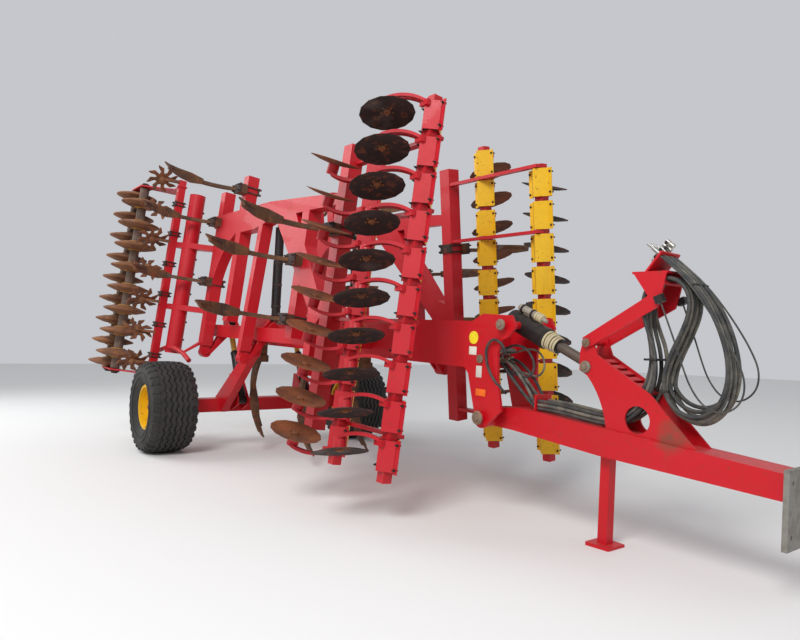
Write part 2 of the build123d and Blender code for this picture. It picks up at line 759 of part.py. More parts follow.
# Packer frame: thick tube on two arms, star beam below it, end plates and the bent hoop over the wheel
star_places = [star_first + star_pitch * index for index in range(star_count)]
with BuildPart() as packer_frame:
    with BuildSketch(Plane.XZ.offset(-packer_inner)):
        with Locations((packer_x, packer_level)):
            Circle(packer_radius)
    extrude(amount=-(packer_outer - packer_inner))
    for y in packer_arms:
        with BuildSketch(Plane.XZ.offset(-y - packer_arm_width / 2)):
            with BuildLine():
                Polyline(
                    (wing_tubes[3][0] - wing_tube / 2, wing_tube / 2),
                    (wing_tubes[3][0] - wing_tube / 2, -wing_tube / 2),
                    (packer_x + 60, packer_level - 62),
                    (star_beam_x + star_beam / 2, star_beam_level + star_beam / 2),
                    (star_beam_x - star_beam / 2, star_beam_level + star_beam / 2),
                    (packer_x - 80, packer_level + 30),
                    (packer_x + 10, packer_level + 84),
                    close=True,
                )
            make_face()
        extrude(amount=packer_arm_width)
    with Locations((star_beam_x, (roller_inner + star_beam_outer) / 2, star_beam_level)):
        Box(star_beam, star_beam_outer - roller_inner, star_beam)
    for y in (roller_inner - end_plate, roller_outer):
        with BuildSketch(Plane.XZ.offset(-y)):
            with BuildLine():
                Polyline(
                    (star_beam_x + 50, star_beam_level + 50),
                    (star_beam_x + 50, star_beam_level - 50),
                    (star_beam_x - 20, star_beam_level - 30),
                    (star_x - 132, star_beam_level - 30),
                    (front_roller_x + 60, roller_level - 70),
                    (rear_roller_x - 20, roller_level - 70),
                    (rear_roller_x - 70, roller_level),
                    (rear_roller_x - 20, roller_level + 70),
                    (front_roller_x, roller_level + 80),
                    (axle_x + hoop[0][0] - 40, hoop[0][2] + 20),
                    (axle_x + hoop[0][0] + 50, hoop[0][2] + 20),
                    close=True,
                )
            make_face()
            with Locations((front_roller_x, roller_level), (rear_roller_x, roller_level)):
                Circle(stub_radius + pin_clearance, mode=Mode.SUBTRACT)
        extrude(amount=-end_plate)
    with BuildLine() as hoop_line:
        FilletPolyline(*[(axle_x + x, a, b) for x, a, b in hoop], radius=90)
    hoop_start = Vector(hoop[1][0] - hoop[0][0], hoop[1][1] - hoop[0][1], hoop[1][2] - hoop[0][2])
    with BuildSketch(Plane(origin=(axle_x + hoop[0][0], hoop[0][1], hoop[0][2]), z_dir=hoop_start)):
        Circle(hoop_radius)
    sweep(path=hoop_line.wires()[0])
    with BuildSketch(Plane.YZ.offset(wing_tubes[3][0] - 30)):
        with BuildLine():
            Polyline(
                (wing_tubes[3][1] - 20, -wing_tube / 2 - seat),
                (wing_tubes[3][1] + 15, -wing_tube / 2 - seat),
                (hoop[5][1] + 8, hoop[5][2]),
                (hoop[5][1] - 8, hoop[5][2]),
                close=True,
            )
        make_face()
    extrude(amount=60)
for side in (1, -1):
    finish(fold(packer_frame.part, side), names[side] + "_packer_frame")

# Rollers: shaft with its spacer tube, and the wedge rings on it, turning in the end plates
for side in (1, -1):
    for row, x, first, count in (
        ("front", front_roller_x, front_ring_first, front_rings),
        ("rear", rear_roller_x, rear_ring_first, rear_rings),
    ):
        with BuildPart() as roller:
            with BuildSketch(Plane.XY.offset(roller_level)):
                with BuildLine():
                    Polyline(
                        (x, roller_inner - end_plate - 5),
                        (x + stub_radius, roller_inner - end_plate - 5),
                        (x + stub_radius, roller_inner + 5),
                        (x + spacer_radius, roller_inner + 5),
                        (x + spacer_radius, roller_outer - 5),
                        (x + stub_radius, roller_outer - 5),
                        (x + stub_radius, roller_outer + end_plate + 5),
                        (x, roller_outer + end_plate + 5),
                        close=True,
                    )
                make_face()
                for index in range(count):
                    with Locations((x + spacer_radius + seat, first + ring_pitch * index)):
                        Polygon(
                            (0, -ring_half),
                            (ring_body[0], -ring_body[1]),
                            (ring_radius - spacer_radius, -ring_rim),
                            (ring_radius - spacer_radius, ring_rim),
                            (ring_body[0], ring_body[1]),
                            (0, ring_half),
                            align=None,
                        )
            revolve(axis=Axis((x, 0, roller_level), (0, 1, 0)))
        finish(fold(roller.part, side), f"{names[side]}_{row}_roller")

# Levelling stars: curved fingers on short arms, turned left and right in turn
star_outline = []
for index in range(star_fingers):
    for radius, angle in star_finger:
        turn = radians(angle + index * 360 / star_fingers)
        star_outline.append((radius * cos(turn), radius * sin(turn)))
with BuildPart() as stars:
    for index, y in enumerate(star_places):
        turn = radians(star_angle if index % 2 else -star_angle)
        star_plane = Plane(origin=(star_x, y, star_level), x_dir=(0, 0, 1), z_dir=(sin(turn), cos(turn), 0))
        with BuildSketch(star_plane):
            Polygon(*star_outline, align=None)
        extrude(amount=star_thickness)
        with BuildSketch(star_plane.offset(-20)):
            Circle(34)
        extrude(amount=52)
        with BuildSketch(Plane.XZ.offset(-y - 14)):
            with BuildLine():
                Polyline(
                    (star_beam_x - 30, star_beam_level - star_beam / 2 - seat),
                    (star_beam_x + 30, star_beam_level - star_beam / 2 - seat),
                    (star_x + 20, star_level),
                    (star_x - 20, star_level),
                    close=True,
                )
            make_face()
        extrude(amount=28)
for side in (1, -1):
    finish(fold(stars.part, side), names[side] + "_star_wheels")

# Fold cylinders: the barrel turns on the rail ears, the rod runs out to the open eye on the wing
fold_head = (
    hinge_y + fold_head_y * cos(radians(fold_angle)) - fold_head_z * sin(radians(fold_angle)),
    hinge_z + fold_head_y * sin(radians(fold_angle)) + fold_head_z * cos(radians(fold_angle)),
)
fold_short = hypot(fold_head[0] - fold_foot_y, fold_head[1] - fold_foot_z)
fold_long = hypot(hinge_y + fold_head_y - fold_foot_y, hinge_z + fold_head_z - fold_foot_z)
fold_stroke = fold_long - fold_short
print("fold cylinder length", round(fold_short), "stroke", round(fold_stroke))
for side in (1, -1):
    fold_plane = Plane(
        origin=(fold_x, side * fold_foot_y, fold_foot_z),
        x_dir=(1, 0, 0),
        z_dir=(0, side * (fold_head[0] - fold_foot_y), fold_head[1] - fold_foot_z),
    )
    with BuildPart() as barrel:
        with BuildSketch(fold_plane.offset(36)):
            Circle(fold_barrel_radius)
        extrude(amount=fold_short - cylinder_top - 36)
        with BuildSketch(fold_plane.offset(rod_end - 5)):
            Circle(fold_rod_radius + rod_gap)
        extrude(amount=fold_short, mode=Mode.SUBTRACT)
        with BuildSketch(Plane.YZ.offset(fold_x - eye_width / 2)):
            with Locations((side * fold_foot_y, fold_foot_z)):
                Circle(eye_radius)
                Circle(pin_radius + pin_clearance, mode=Mode.SUBTRACT)
        extrude(amount=eye_width)
    finish(barrel.part, names[side] + "_fold_barrel")
    with BuildPart() as rod:
        with BuildSketch(fold_plane.offset(rod_end)):
            Circle(fold_rod_radius)
        extrude(amount=fold_short - rod_end - 36)
        with BuildSketch(Plane.YZ.offset(fold_x - eye_width / 2)):
            with Locations((side * fold_head[0], fold_head[1])):
                Circle(eye_radius)
                Circle(pin_radius + pin_clearance, mode=Mode.SUBTRACT)
        extrude(amount=eye_width)
    finish(rod.part, names[side] + "_fold_rod")

# Drawbar: tapered beam with its cross tube, gusset plates and the stand's opening
with BuildPart() as drawbar:
    with BuildSketch(Plane.XZ.offset(-drawbar_width / 2)):
        with BuildLine():
            Polyline(
                (pivot_x - 60, pivot_z - 55),
                (axle_x + 3850, 755),
                (stand_x, 711),
                (hitch_x - plate_thickness, 686),
                (hitch_x - plate_thickness, 812),
                (axle_x + 4600, 866),
                (axle_x + 3900, 905),
                (pivot_x - 60, pivot_z + 60),
                close=True,
            )
        make_face()
    extrude(amount=drawbar_width)
    with BuildSketch(Plane.XZ.offset(-headstock_y + headstock_plate + eye_gap)):
        with Locations((pivot_x, pivot_z)):
            Circle(62)
    extrude(amount=2 * (headstock_y - headstock_plate - eye_gap))
    for y in (-gusset_y, gusset_y - gusset_thickness):
        with BuildSketch(Plane.XZ.offset(-y)):
            with BuildLine():
                rear_edge = ThreePointArc(
                    (axle_x + 4535, 850), (axle_x + 4490, 1015), (draw_head_x + 12, draw_head_z - 50)
                )
                Polyline(
                    rear_edge @ 1,
                    (draw_head_x - 45, draw_head_z - 20),
                    (draw_head_x - 45, draw_head_z + 85),
                    (draw_head_x - 20, draw_head_z + 172),
                    (draw_head_x + 35, draw_head_z + 172),
                    (draw_head_x + 75, draw_head_z + 75),
                    (axle_x + 4799, 1094),
                    (axle_x + 5084, 820),
                    rear_edge @ 0,
                )
            make_face()
            with Locations((axle_x + 4728, 945)):
                Circle(76, mode=Mode.SUBTRACT)
            with Locations((draw_head_x + 8, draw_head_z + 142)):
                Circle(arm_pin_radius + pin_clearance, mode=Mode.SUBTRACT)
            with Locations((draw_head_x, draw_head_z)):
                Circle(pin_radius, mode=Mode.SUBTRACT)
        extrude(amount=-gusset_thickness)
    with BuildSketch(Plane.XZ.offset(-headstock_y)):
        with Locations((pivot_x, pivot_z)):
            Circle(30 + pin_clearance)
    extrude(amount=2 * headstock_y, mode=Mode.SUBTRACT)
    with Locations((stand_x, 0, 800)):
        Box(stand_size + 2 * stand_gap, stand_size + 2 * stand_gap, 400, mode=Mode.SUBTRACT)
finish(drawbar.part, "drawbar")

with BuildPart() as hitch_plate:
    with Locations((hitch_x - plate_thickness / 2, 0, plate_z)):
        Box(plate_thickness, plate_width, plate_height)
    with BuildSketch(Plane.YZ.offset(hitch_x - plate_thickness)):
        with Locations((0, plate_z)):
            with PolarLocations(bolt_circle / 2, 4, start_angle=45):
                Circle(bolt_radius)
    extrude(amount=plate_thickness, mode=Mode.SUBTRACT)
finish(hitch_plate.part, "hitch_plate")

# Drawbar cylinder from the headstock horns to the open eye between the gussets
draw_length = hypot(draw_head_x - draw_foot_x, draw_head_z - draw_foot_z)
draw_plane = Plane(
    origin=(draw_foot_x, 0, draw_foot_z),
    x_dir=(0, 1, 0),
    z_dir=(draw_head_x - draw_foot_x, 0, draw_head_z - draw_foot_z),
)
with BuildPart() as draw_barrel:
    with BuildSketch(draw_plane.offset(-draw_barrel_tail)):
        Circle(draw_barrel_radius)
    extrude(amount=draw_barrel_length)
    with BuildSketch(draw_plane.offset(draw_barrel_length - draw_barrel_tail)):
        Circle(draw_collar_radius)
    extrude(amount=draw_collar_length)
    with BuildSketch(draw_plane.offset(45)):
        Circle(draw_rod_radius + rod_gap)
    extrude(amount=draw_length, mode=Mode.SUBTRACT)
    with BuildSketch(Plane.XZ.offset(-draw_barrel_radius)):
        with Locations((draw_foot_x, draw_foot_z)):
            Circle(pin_radius + pin_clearance)
    extrude(amount=2 * draw_barrel_radius, mode=Mode.SUBTRACT)
finish(draw_barrel.part, "drawbar_barrel")
with BuildPart() as draw_rod:
    with BuildSketch(draw_plane.offset(190)):
        Circle(draw_rod_radius)
    extrude(amount=draw_length - 190 - eye_radius + 5)
    with BuildSketch(Plane.XZ.offset(-gusset_y + gusset_thickness + eye_gap)):
        with Locations((draw_head_x, draw_head_z)):
            Circle(eye_radius)
            Circle(pin_radius + pin_clearance, mode=Mode.SUBTRACT)
    extrude(amount=2 * (gusset_y - gusset_thickness - eye_gap))
finish(draw_rod.part, "drawbar_rod")

# Parking stand through the drawbar, its foot on the ground
stand_foot = ground_z(stand_x)
with BuildPart() as stand:
    with BuildSketch(Plane.XY.offset(stand_foot + 12)):
        with Locations((stand_x, 0)):
            Rectangle(stand_size, stand_size)
    extrude(amount=stand_top - stand_foot - 12)
    with BuildSketch(Plane.XZ.offset(-foot_size / 2)):
        with BuildLine():
            Polyline(
                (stand_x - foot_size / 2, ground_z(stand_x - foot_size / 2)),
                (stand_x + foot_size / 2, ground_z(stand_x + foot_size / 2)),
                (stand_x + foot_size / 2, ground_z(stand_x + foot_size / 2) + foot_thickness),
                (stand_x - foot_size / 2, ground_z(stand_x - foot_size / 2) + foot_thickness + 6),
                close=True,
            )
        make_face()
    extrude(amount=foot_size)
finish(stand.part, "parking_stand")

# Hose arm, its hook bar, its head plate and the coupler rack at the hose ends
hose_end = hose_route[-1]
end_run = (hose_end[0] - hose_route[-2][0], 0, hose_end[1] - hose_route[-2][1])
rack_plane = Plane(origin=(axle_x + hose_end[0], 0, hose_end[1]), x_dir=(0, 1, 0), z_dir=end_run)
arm_span = 2 * hose_bar_y + 2 * hose_bar
hose_pitch = 2 * hose_radius + hose_gap
hose_places = [hose_pitch * (index - (hose_count - 1) / 2) for index in range(hose_count)]
with BuildPart() as hose_arm:
    for y in (-hose_bar_y - hose_bar, hose_bar_y):
        with BuildSketch(Plane.XZ.offset(-y)):
            with BuildLine():
                Polyline(
                    (draw_head_x - 20, draw_head_z + 118),
                    (draw_head_x + 10, draw_head_z + 108),
                    (hook_x - 23, hook_z - 130),
                    (hook_x - 3, hook_z - 57),
                    (hook_x + 20, head_z),
                    (hook_x - 173, head_z),
                    (hook_x - 83, hook_z - 70),
                    (draw_head_x - 20, draw_head_z + 172),
                    close=True,
                )
            make_face()
        extrude(amount=-hose_bar)
    for x, z, radius in ((hook_x, hook_z, hook_radius), (draw_head_x + 8, draw_head_z + 142, arm_pin_radius)):
        with BuildSketch(Plane.XZ.offset(-arm_span / 2)):
            with Locations((x, z)):
                Circle(radius)
        extrude(amount=arm_span)
    with Locations((hook_x - 78, 0, head_z + 6)):
        Box(210, arm_span, 12)
    with BuildSketch(rack_plane):
        with Locations((0, 44)):
            Rectangle(arm_span, 136)
    extrude(amount=rack_thickness)
finish(hose_arm.part, "hose_arm")
with BuildPart() as couplers:
    for y in hose_places:
        with BuildSketch(rack_plane.offset(rack_thickness)):
            with Locations((y, 0)):
                Circle(coupler_radius)
        extrude(amount=coupler_length)
        with BuildSketch(rack_plane.offset(rack_thickness + coupler_length)):
            with Locations((y, 0)):
                Circle(coupler_radius * 0.65)
        extrude(amount=coupler_length * 0.7)
finish(couplers.part, "couplers")

# Hose gate across the drawbar, where the hoses come out of the headstock
gate_x = axle_x + hose_route[0][0]
with BuildPart() as hose_gate:
    with Locations((gate_x - seat - gate_thickness / 2, 0, 952)):
        Box(gate_thickness, 150, 104)
finish(hose_gate.part, "hose_gate")


def cord(points, radius, name):
    """Tube along straight runs joined by arcs that fit them; prints its length and its smallest arc."""
    points = [Vector(*point) for point in points]
    runs = [after - before for before, after in zip(points, points[1:])]
    turns = [radians(before.get_angle(after)) for before, after in zip(runs, runs[1:])]
    arcs = [
        0.45 * min(before.length, after.length) / tan(turn / 2)
        for before, after, turn in zip(runs, runs[1:], turns)
    ]
    with BuildPart() as tube:
        with BuildLine() as line:
            FilletPolyline(*points, radius=arcs)
        with BuildSketch(Plane(origin=points[0], z_dir=runs[0])):
            Circle(radius)
        sweep(path=line.wires()[0])
    length = line.wires()[0].length
    share = tube.part.volume / (3.141593 * radius ** 2 * length)
    print(name, "length", round(length), "smallest arc", round(min(arcs)), "volume share", round(share, 4))
    finish(tube.part, name)


def hose_points(index):
    """Route of one hose: three lie on each side of the stand, then they fan out into the loop."""
    layer = min(index, hose_count - 1 - index)
    channel = -hose_channel_y if index < hose_count / 2 else hose_channel_y
    points = []
    for step, (x, z) in enumerate(hose_route):
        before = hose_route[max(step - 1, 0)]
        after = hose_route[min(step + 1, len(hose_route) - 1)]
        heading = atan2(after[1] - before[1], after[0] - before[0])
        spread = min(1, max(0, (step - 6) / 2))
        lift = hose_pitch * layer * min(1, max(0, (10 - step) / 2))
        sag = hose_slack[index] * sin(radians(180 * min(1, max(0, (step - 15) / 14))))
        y = channel * (1 - spread) + hose_places[index] * spread
        points.append((axle_x + x - lift * sin(heading), y, z + lift * cos(heading) + sag))
    return points


for index in range(hose_count):
    cord(hose_points(index), hose_radius, f"hose_{index + 1}")

# Two thin cables from the rack, each to a small junction on its side of the hose arm
cable_ends = []
for index, stretch in cable_stretch.items():
    side = 1 if index == 1 else -1
    points = []
    for step, (x, y, z) in enumerate(cable_route):
        swell = sin(radians(180 * max(0, step - 1) / (len(cable_route) - 2)))
        points.append((axle_x + x + stretch * swell * 0.6, side * y, z - stretch * swell))
    cord(points, cable_radius, f"cable_{index}")
    cable_ends.append((points[-1], Vector(*points[-1]) - Vector(*points[-2])))
with BuildPart() as junctions:
    for point, run in cable_ends:
        with BuildSketch(Plane(origin=point, x_dir=(0, 1, 0), z_dir=run)):
            Rectangle(2 * (abs(point[1]) - hose_bar_y - hose_bar - seat), junction[0])
        extrude(amount=junction[2])
finish(junctions.part, "cable_junctions")
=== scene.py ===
import bpy
import json
from math import atan2, cos, hypot, pi, radians, sin
from mathutils import Matrix, Vector


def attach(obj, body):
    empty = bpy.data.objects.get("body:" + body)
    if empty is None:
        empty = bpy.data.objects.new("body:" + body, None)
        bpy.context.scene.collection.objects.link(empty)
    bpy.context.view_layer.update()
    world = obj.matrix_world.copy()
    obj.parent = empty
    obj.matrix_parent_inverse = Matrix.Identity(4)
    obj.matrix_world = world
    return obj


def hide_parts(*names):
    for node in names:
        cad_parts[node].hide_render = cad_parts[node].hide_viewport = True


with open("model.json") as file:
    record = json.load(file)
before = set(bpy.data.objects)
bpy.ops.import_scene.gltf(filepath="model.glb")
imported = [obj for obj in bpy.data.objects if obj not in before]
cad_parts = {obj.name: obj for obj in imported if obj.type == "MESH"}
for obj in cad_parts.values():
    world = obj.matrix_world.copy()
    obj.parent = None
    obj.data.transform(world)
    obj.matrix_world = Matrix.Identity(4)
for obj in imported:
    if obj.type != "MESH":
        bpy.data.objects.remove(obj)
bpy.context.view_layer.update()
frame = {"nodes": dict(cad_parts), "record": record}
print("frame loaded,", len(frame["nodes"]), "nodes")


class Wire:
    # wraps one output socket, so that shader sums read as plain expressions
    def __init__(self, tree, socket):
        self.tree = tree
        self.socket = socket

    def math(self, operation, other, swap=False):
        node = self.tree.nodes.new("ShaderNodeMath")
        node.operation = operation
        for place, value in enumerate([other, self] if swap else [self, other]):
            join(self.tree, value, node.inputs[place])
        return Wire(self.tree, node.outputs[0])

    def __add__(self, other):
        return self.math("ADD", other)

    def __radd__(self, other):
        return self.math("ADD", other, True)

    def __sub__(self, other):
        return self.math("SUBTRACT", other)

    def __rsub__(self, other):
        return self.math("SUBTRACT", other, True)

    def __mul__(self, other):
        return self.math("MULTIPLY", other)


def join(tree, value, socket):
    if isinstance(value, Wire):
        tree.links.new(value.socket, socket)
    elif isinstance(value, tuple) and len(value) == 3 and len(socket.default_value) == 4:
        socket.default_value = (*value, 1)
    else:
        socket.default_value = value


def srgb(text):
    # plain hex colour to the linear values that the shader wants
    parts = [int(text[place:place + 2], 16) / 255 for place in (0, 2, 4)]
    return tuple(part / 12.92 if part <= 0.04045 else ((part + 0.055) / 1.055) ** 2.4 for part in parts)


class Paint:
    # one material and the nodes that go into it
    def __init__(self, name):
        self.material = bpy.data.materials.new(name)
        self.material.use_nodes = True
        self.tree = self.material.node_tree
        self.shader = self.tree.nodes["Principled BSDF"]
        self.places = self.node("ShaderNodeTexCoord", out="Object")

    def node(self, kind, settings=None, out=0, **links):
        # a link named i0, i1 and so on goes by the input's number, any other by the input's name
        made = self.tree.nodes.new(kind)
        for key, value in (settings or {}).items():
            setattr(made, key, value)
        for name, value in links.items():
            place = int(name[1:]) if name[0] == "i" and name[1:].isdigit() else name.replace("_", " ")
            join(self.tree, value, made.inputs[place])
        return Wire(self.tree, made.outputs[out])

    def noise(self, scale, detail=3, roughness=0.55, distortion=0, stretch=None):
        spot = self.places
        if stretch:
            spot = self.node("ShaderNodeMapping", i0=spot, Scale=stretch)
        return self.node(
            "ShaderNodeTexNoise", i0=spot, Scale=scale, Detail=detail, Roughness=roughness, Distortion=distortion,
        )

    def ramp(self, value, low, high):
        return self.node("ShaderNodeMapRange", {"clamp": True}, i0=value, i1=low, i2=high)

    def mix(self, mask, under, over):
        made = self.tree.nodes.new("ShaderNodeMix")
        made.data_type = "RGBA"
        join(self.tree, mask, made.inputs[0])
        join(self.tree, under, made.inputs[6])
        join(self.tree, over, made.inputs[7])
        return Wire(self.tree, made.outputs[2])

    def bump(self, height, strength=0.3, distance=0.002):
        return self.node("ShaderNodeBump", Height=height, Strength=strength, Distance=distance)

    def finish(self, **values):
        for name, value in values.items():
            join(self.tree, value, self.shader.inputs[name.replace("_", " ")])
        return self.material


colours = {
    "frameRed": srgb("C20418"),
    "wingRed": srgb("BE1222"),
    "fadedRed": srgb("C8343C"),
    "yellow": srgb("E8B40C"),
    "rustOrange": srgb("A4562A"),
    "rustBrown": srgb("6E3A22"),
    "rustDark": srgb("3A2219"),
    "bareSteel": srgb("8C8882"),
    "black": srgb("17181A"),
    "rubber": srgb("202122"),
    "dust": srgb("A79A8A"),
}


def paintedSteel(name, base, faded, rust=0.5, chips=0.62, gloss=0.42, worn=None):
    # sprayed steel: a faint fade, dust on what faces up, chips down to rust, orange peel in the bump
    paint = Paint(name)
    fade = paint.ramp(paint.noise(2.2, 2), 0.4, 0.75)
    mottle = paint.ramp(paint.noise(26, 4, 0.6), 0.35, 0.8)
    chip = paint.ramp(paint.noise(34, 6, 0.7, 0.4), chips, chips + 0.03)
    wear = paint.ramp(paint.noise(5, 3, 0.6), 0.5, 0.62) * chip * rust
    streak = paint.ramp(paint.noise(9, 3, 0.6, stretch=(1, 1, 0.12)), 0.56, 0.8)
    faces = paint.node("ShaderNodeSeparateXYZ", out=2, i0=paint.node("ShaderNodeNewGeometry", out=1))
    dust = paint.ramp(faces, 0.6, 1.0) * mottle * 0.22
    colour = paint.mix(fade * 0.4, base, faded)
    colour = paint.mix(mottle * 0.12, colour, colours["rustBrown"])
    colour = paint.mix(streak * 0.16, colour, colours["rustBrown"])
    colour = paint.mix(dust, colour, colours["dust"])
    if worn:
        # one rubbed place, soft at its edge: where it is and how far it reaches
        reach = paint.node(
            "ShaderNodeVectorMath", {"operation": "DISTANCE"}, out=1, i0=paint.places, i1=worn[0],
        )
        rubbed = 1 - paint.ramp(reach + (paint.noise(12, 4) - 0.5) * worn[1], worn[1] * 0.5, worn[1])
        colour = paint.mix(rubbed * (0.45 + mottle * 0.5), colour, srgb("6A4632"))
    colour = paint.mix(wear, colour, colours["rustBrown"])
    peel = paint.noise(160, 2)
    rough = gloss + fade * 0.12 + mottle * 0.1 + wear * 0.35 + dust * 0.4
    return paint.finish(
        Base_Color=colour, Roughness=rough, Coat_Weight=0.1 - wear * 0.1, Specular_IOR_Level=0.32,
        Normal=paint.bump(peel * 0.15 - wear * 0.6, 0.35, 0.0012),
    )


def rustySteel(name, bright, dark, metal=0.35, scale=1.0):
    # bare steel gone to rust: orange bloom over brown, rubbed patches that stay metallic
    paint = Paint(name)
    cloud = paint.ramp(paint.noise(6 * scale, 5, 0.62, 0.3), 0.34, 0.68)
    grain = paint.ramp(paint.noise(70 * scale, 5, 0.7), 0.3, 0.75)
    bloom = paint.ramp(paint.noise(17 * scale, 5, 0.6), 0.52, 0.72)
    rubbed = paint.ramp(paint.noise(4 * scale, 3, 0.5), 0.62, 0.74)
    colour = paint.mix(cloud, dark, bright)
    colour = paint.mix(grain * 0.45, colour, colours["rustDark"])
    colour = paint.mix(bloom * 0.4, colour, colours["rustOrange"])
    colour = paint.mix(rubbed * metal, colour, colours["bareSteel"])
    return paint.finish(
        Base_Color=colour, Roughness=0.82 - rubbed * metal * 0.5 + grain * 0.1, Metallic=rubbed * metal * 0.8,
        Normal=paint.bump(grain * 0.7 + cloud * 0.3, 0.5, 0.0018),
    )


def tyreRubber(name):
    paint = Paint(name)
    cloud = paint.ramp(paint.noise(7, 4), 0.35, 0.75)
    grit = paint.ramp(paint.noise(120, 4, 0.7), 0.45, 0.8)
    colour = paint.mix(cloud * 0.4, colours["rubber"], srgb("4A453F"))
    colour = paint.mix(grit * 0.25, colour, srgb("6F675C"))
    return paint.finish(Base_Color=colour, Roughness=0.86 - cloud * 0.08, Normal=paint.bump(grit, 0.35, 0.0015))


def plainMetal(name, base, metal=0.9, rough=0.3, dirt=0.3):
    paint = Paint(name)
    cloud = paint.ramp(paint.noise(20, 4), 0.45, 0.75)
    fine = paint.noise(220, 3, 0.6)
    colour = paint.mix(cloud * dirt, base, srgb("5B5048"))
    return paint.finish(
        Base_Color=colour, Metallic=metal - cloud * dirt * metal * 0.7, Roughness=rough + cloud * 0.3 + fine * 0.05,
        Normal=paint.bump(fine, 0.15, 0.0006),
    )


looks = {
    "frame_red": paintedSteel("frameRedPaint", colours["frameRed"], srgb("C4122A"), 0.8),
    "wing_red": paintedSteel("wingRedPaint", colours["wingRed"], colours["fadedRed"], 0.6),
    "tine_steel": rustySteel("shankSteel", srgb("76502F"), srgb("42342B"), 0.5),
    "disc_steel": rustySteel("discSteel", srgb("4A3A34"), srgb("221C1B"), 0.4),
    "roller_rust": rustySteel("starRust", srgb("8E5A38"), srgb("573523"), 0.2),
    "yellow_paint": paintedSteel("yellowPaint", colours["yellow"], srgb("E3C03B"), 0.9, 0.6),
    "tyre_rubber": tyreRubber("tyreRubber"),
    "black_paint": paintedSteel("blackPaint", colours["black"], srgb("2E2C2B"), 0.5, 0.64, 0.42),
    "rod_chrome": plainMetal("wornChrome", srgb("6E6157"), 0.8, 0.34),
    "plate_steel": plainMetal("greyPlate", srgb("8E8A83"), 0.6, 0.55, 0.5),
    "coupler_steel": plainMetal("couplerSteel", srgb("B4B2AE"), 0.95, 0.28, 0.35),
    "hose_rubber": tyreRubber("hoseRubber"),
}
rubbedPlace = ((3.00, -0.1, 0.690), 0.115)
ownLooks = {
    "drawbar": paintedSteel("drawbarPaint", colours["frameRed"], srgb("C4122A"), 0.8, worn=rubbedPlace),
}
nodeSlots = {entry["node"]: entry["material_slot"] for entry in frame["record"]["subparts"]}
for name, piece in frame["nodes"].items():
    piece.data.materials.clear()
    piece.data.materials.append(ownLooks.get(name) or looks[nodeSlots[name]])

# the machine is parked nose-down about its wheel axle, with both wings folded up about their hinges
parkSettings = {"pitch": 2.3, "axleX": -1.955, "axleZ": 0.466}
hingeSettings = {"fold": 96.3, "y": 0.7, "z": 1.026}
parkTurn = (
    Matrix.Translation((parkSettings["axleX"], 0, parkSettings["axleZ"]))
    @ Matrix.Rotation(radians(parkSettings["pitch"]), 4, "Y")
    @ Matrix.Translation((0, 0, -parkSettings["axleZ"]))
)
sides = {"left": 1, "right": -1}
hands = {"Left": 1, "Right": -1}
smoothAngle = radians(35)


def wingTurn(side):
    # unfolded wing places (X from the axle, outboard, above the hinge) to the folded, parked machine
    hinge = Matrix.Translation((0, side * hingeSettings["y"], hingeSettings["z"]))
    swing = Matrix.Rotation(radians(hingeSettings["fold"] * side), 4, "X")
    return parkTurn @ hinge @ swing @ Matrix.Diagonal((1, side, 1, 1))


def at(x, y, z, turn=0, axis="Z"):
    return Matrix.Translation((x, y, z)) @ Matrix.Rotation(radians(turn), 4, axis)


def facing(direction):
    return Vector(direction).to_track_quat("Z", "Y").to_matrix().to_4x4()


def sideways(x, y, z, up):
    # a lathe piece on a side face, its top outwards: up is 1 on the machine's left and -1 on its right
    return parkTurn @ at(x, up * y, z, -90 * up, "X")


def circle(count, radius, z=0, start=0):
    # places evenly round the Z axis
    return [Matrix.Rotation(2 * pi * place / count + start, 4, "Z") @ at(radius, 0, z) for place in range(count)]


def clearPicks():
    if bpy.context.object and bpy.context.object.mode != "OBJECT":
        bpy.ops.object.mode_set(mode="OBJECT")
    bpy.ops.object.select_all(action="DESELECT")


def pickOnly(pieces):
    clearPicks()
    for piece in pieces:
        piece.select_set(True)
    bpy.context.view_layer.objects.active = pieces[0]


def turned(rings, steps=24, hollow=False):
    # a lathe piece: one disc, extruded and resized ring by ring along Z; rings hold radius and height
    clearPicks()
    bpy.ops.mesh.primitive_circle_add(
        vertices=steps, radius=rings[0][0], location=(0, 0, rings[0][1]), fill_type="NGON"
    )
    bpy.ops.object.mode_set(mode="EDIT")
    bpy.ops.mesh.select_all(action="SELECT")
    for before, after in zip(rings, rings[1:]):
        bpy.ops.mesh.extrude_region_move(TRANSFORM_OT_translate={"value": (0, 0, after[1] - before[1])})
        share = after[0] / before[0]
        bpy.ops.transform.resize(value=(share, share, 1), center_override=(0, 0, after[1]))
    piece = bpy.context.object
    if hollow:
        # the two end discs go, and the first and last rings are joined by the inner wall
        bpy.ops.mesh.select_all(action="DESELECT")
        bpy.ops.object.mode_set(mode="OBJECT")
        for face in piece.data.polygons:
            face.select = len(face.vertices) > 4
        bpy.ops.object.mode_set(mode="EDIT")
        bpy.ops.mesh.select_mode(type="FACE")
        bpy.ops.mesh.delete(type="ONLY_FACE")
        bpy.ops.mesh.select_mode(type="EDGE")
        bpy.ops.mesh.select_all(action="DESELECT")
        bpy.ops.mesh.select_non_manifold(extend=False, use_wire=True, use_boundary=True)
        bpy.ops.mesh.bridge_edge_loops()
    bpy.ops.mesh.select_all(action="SELECT")
    bpy.ops.mesh.normals_make_consistent(inside=False)
    bpy.ops.object.mode_set(mode="OBJECT")
    bpy.ops.object.transform_apply(location=True, rotation=True, scale=True)
    bpy.ops.object.shade_smooth_by_angle(angle=smoothAngle)
    return piece


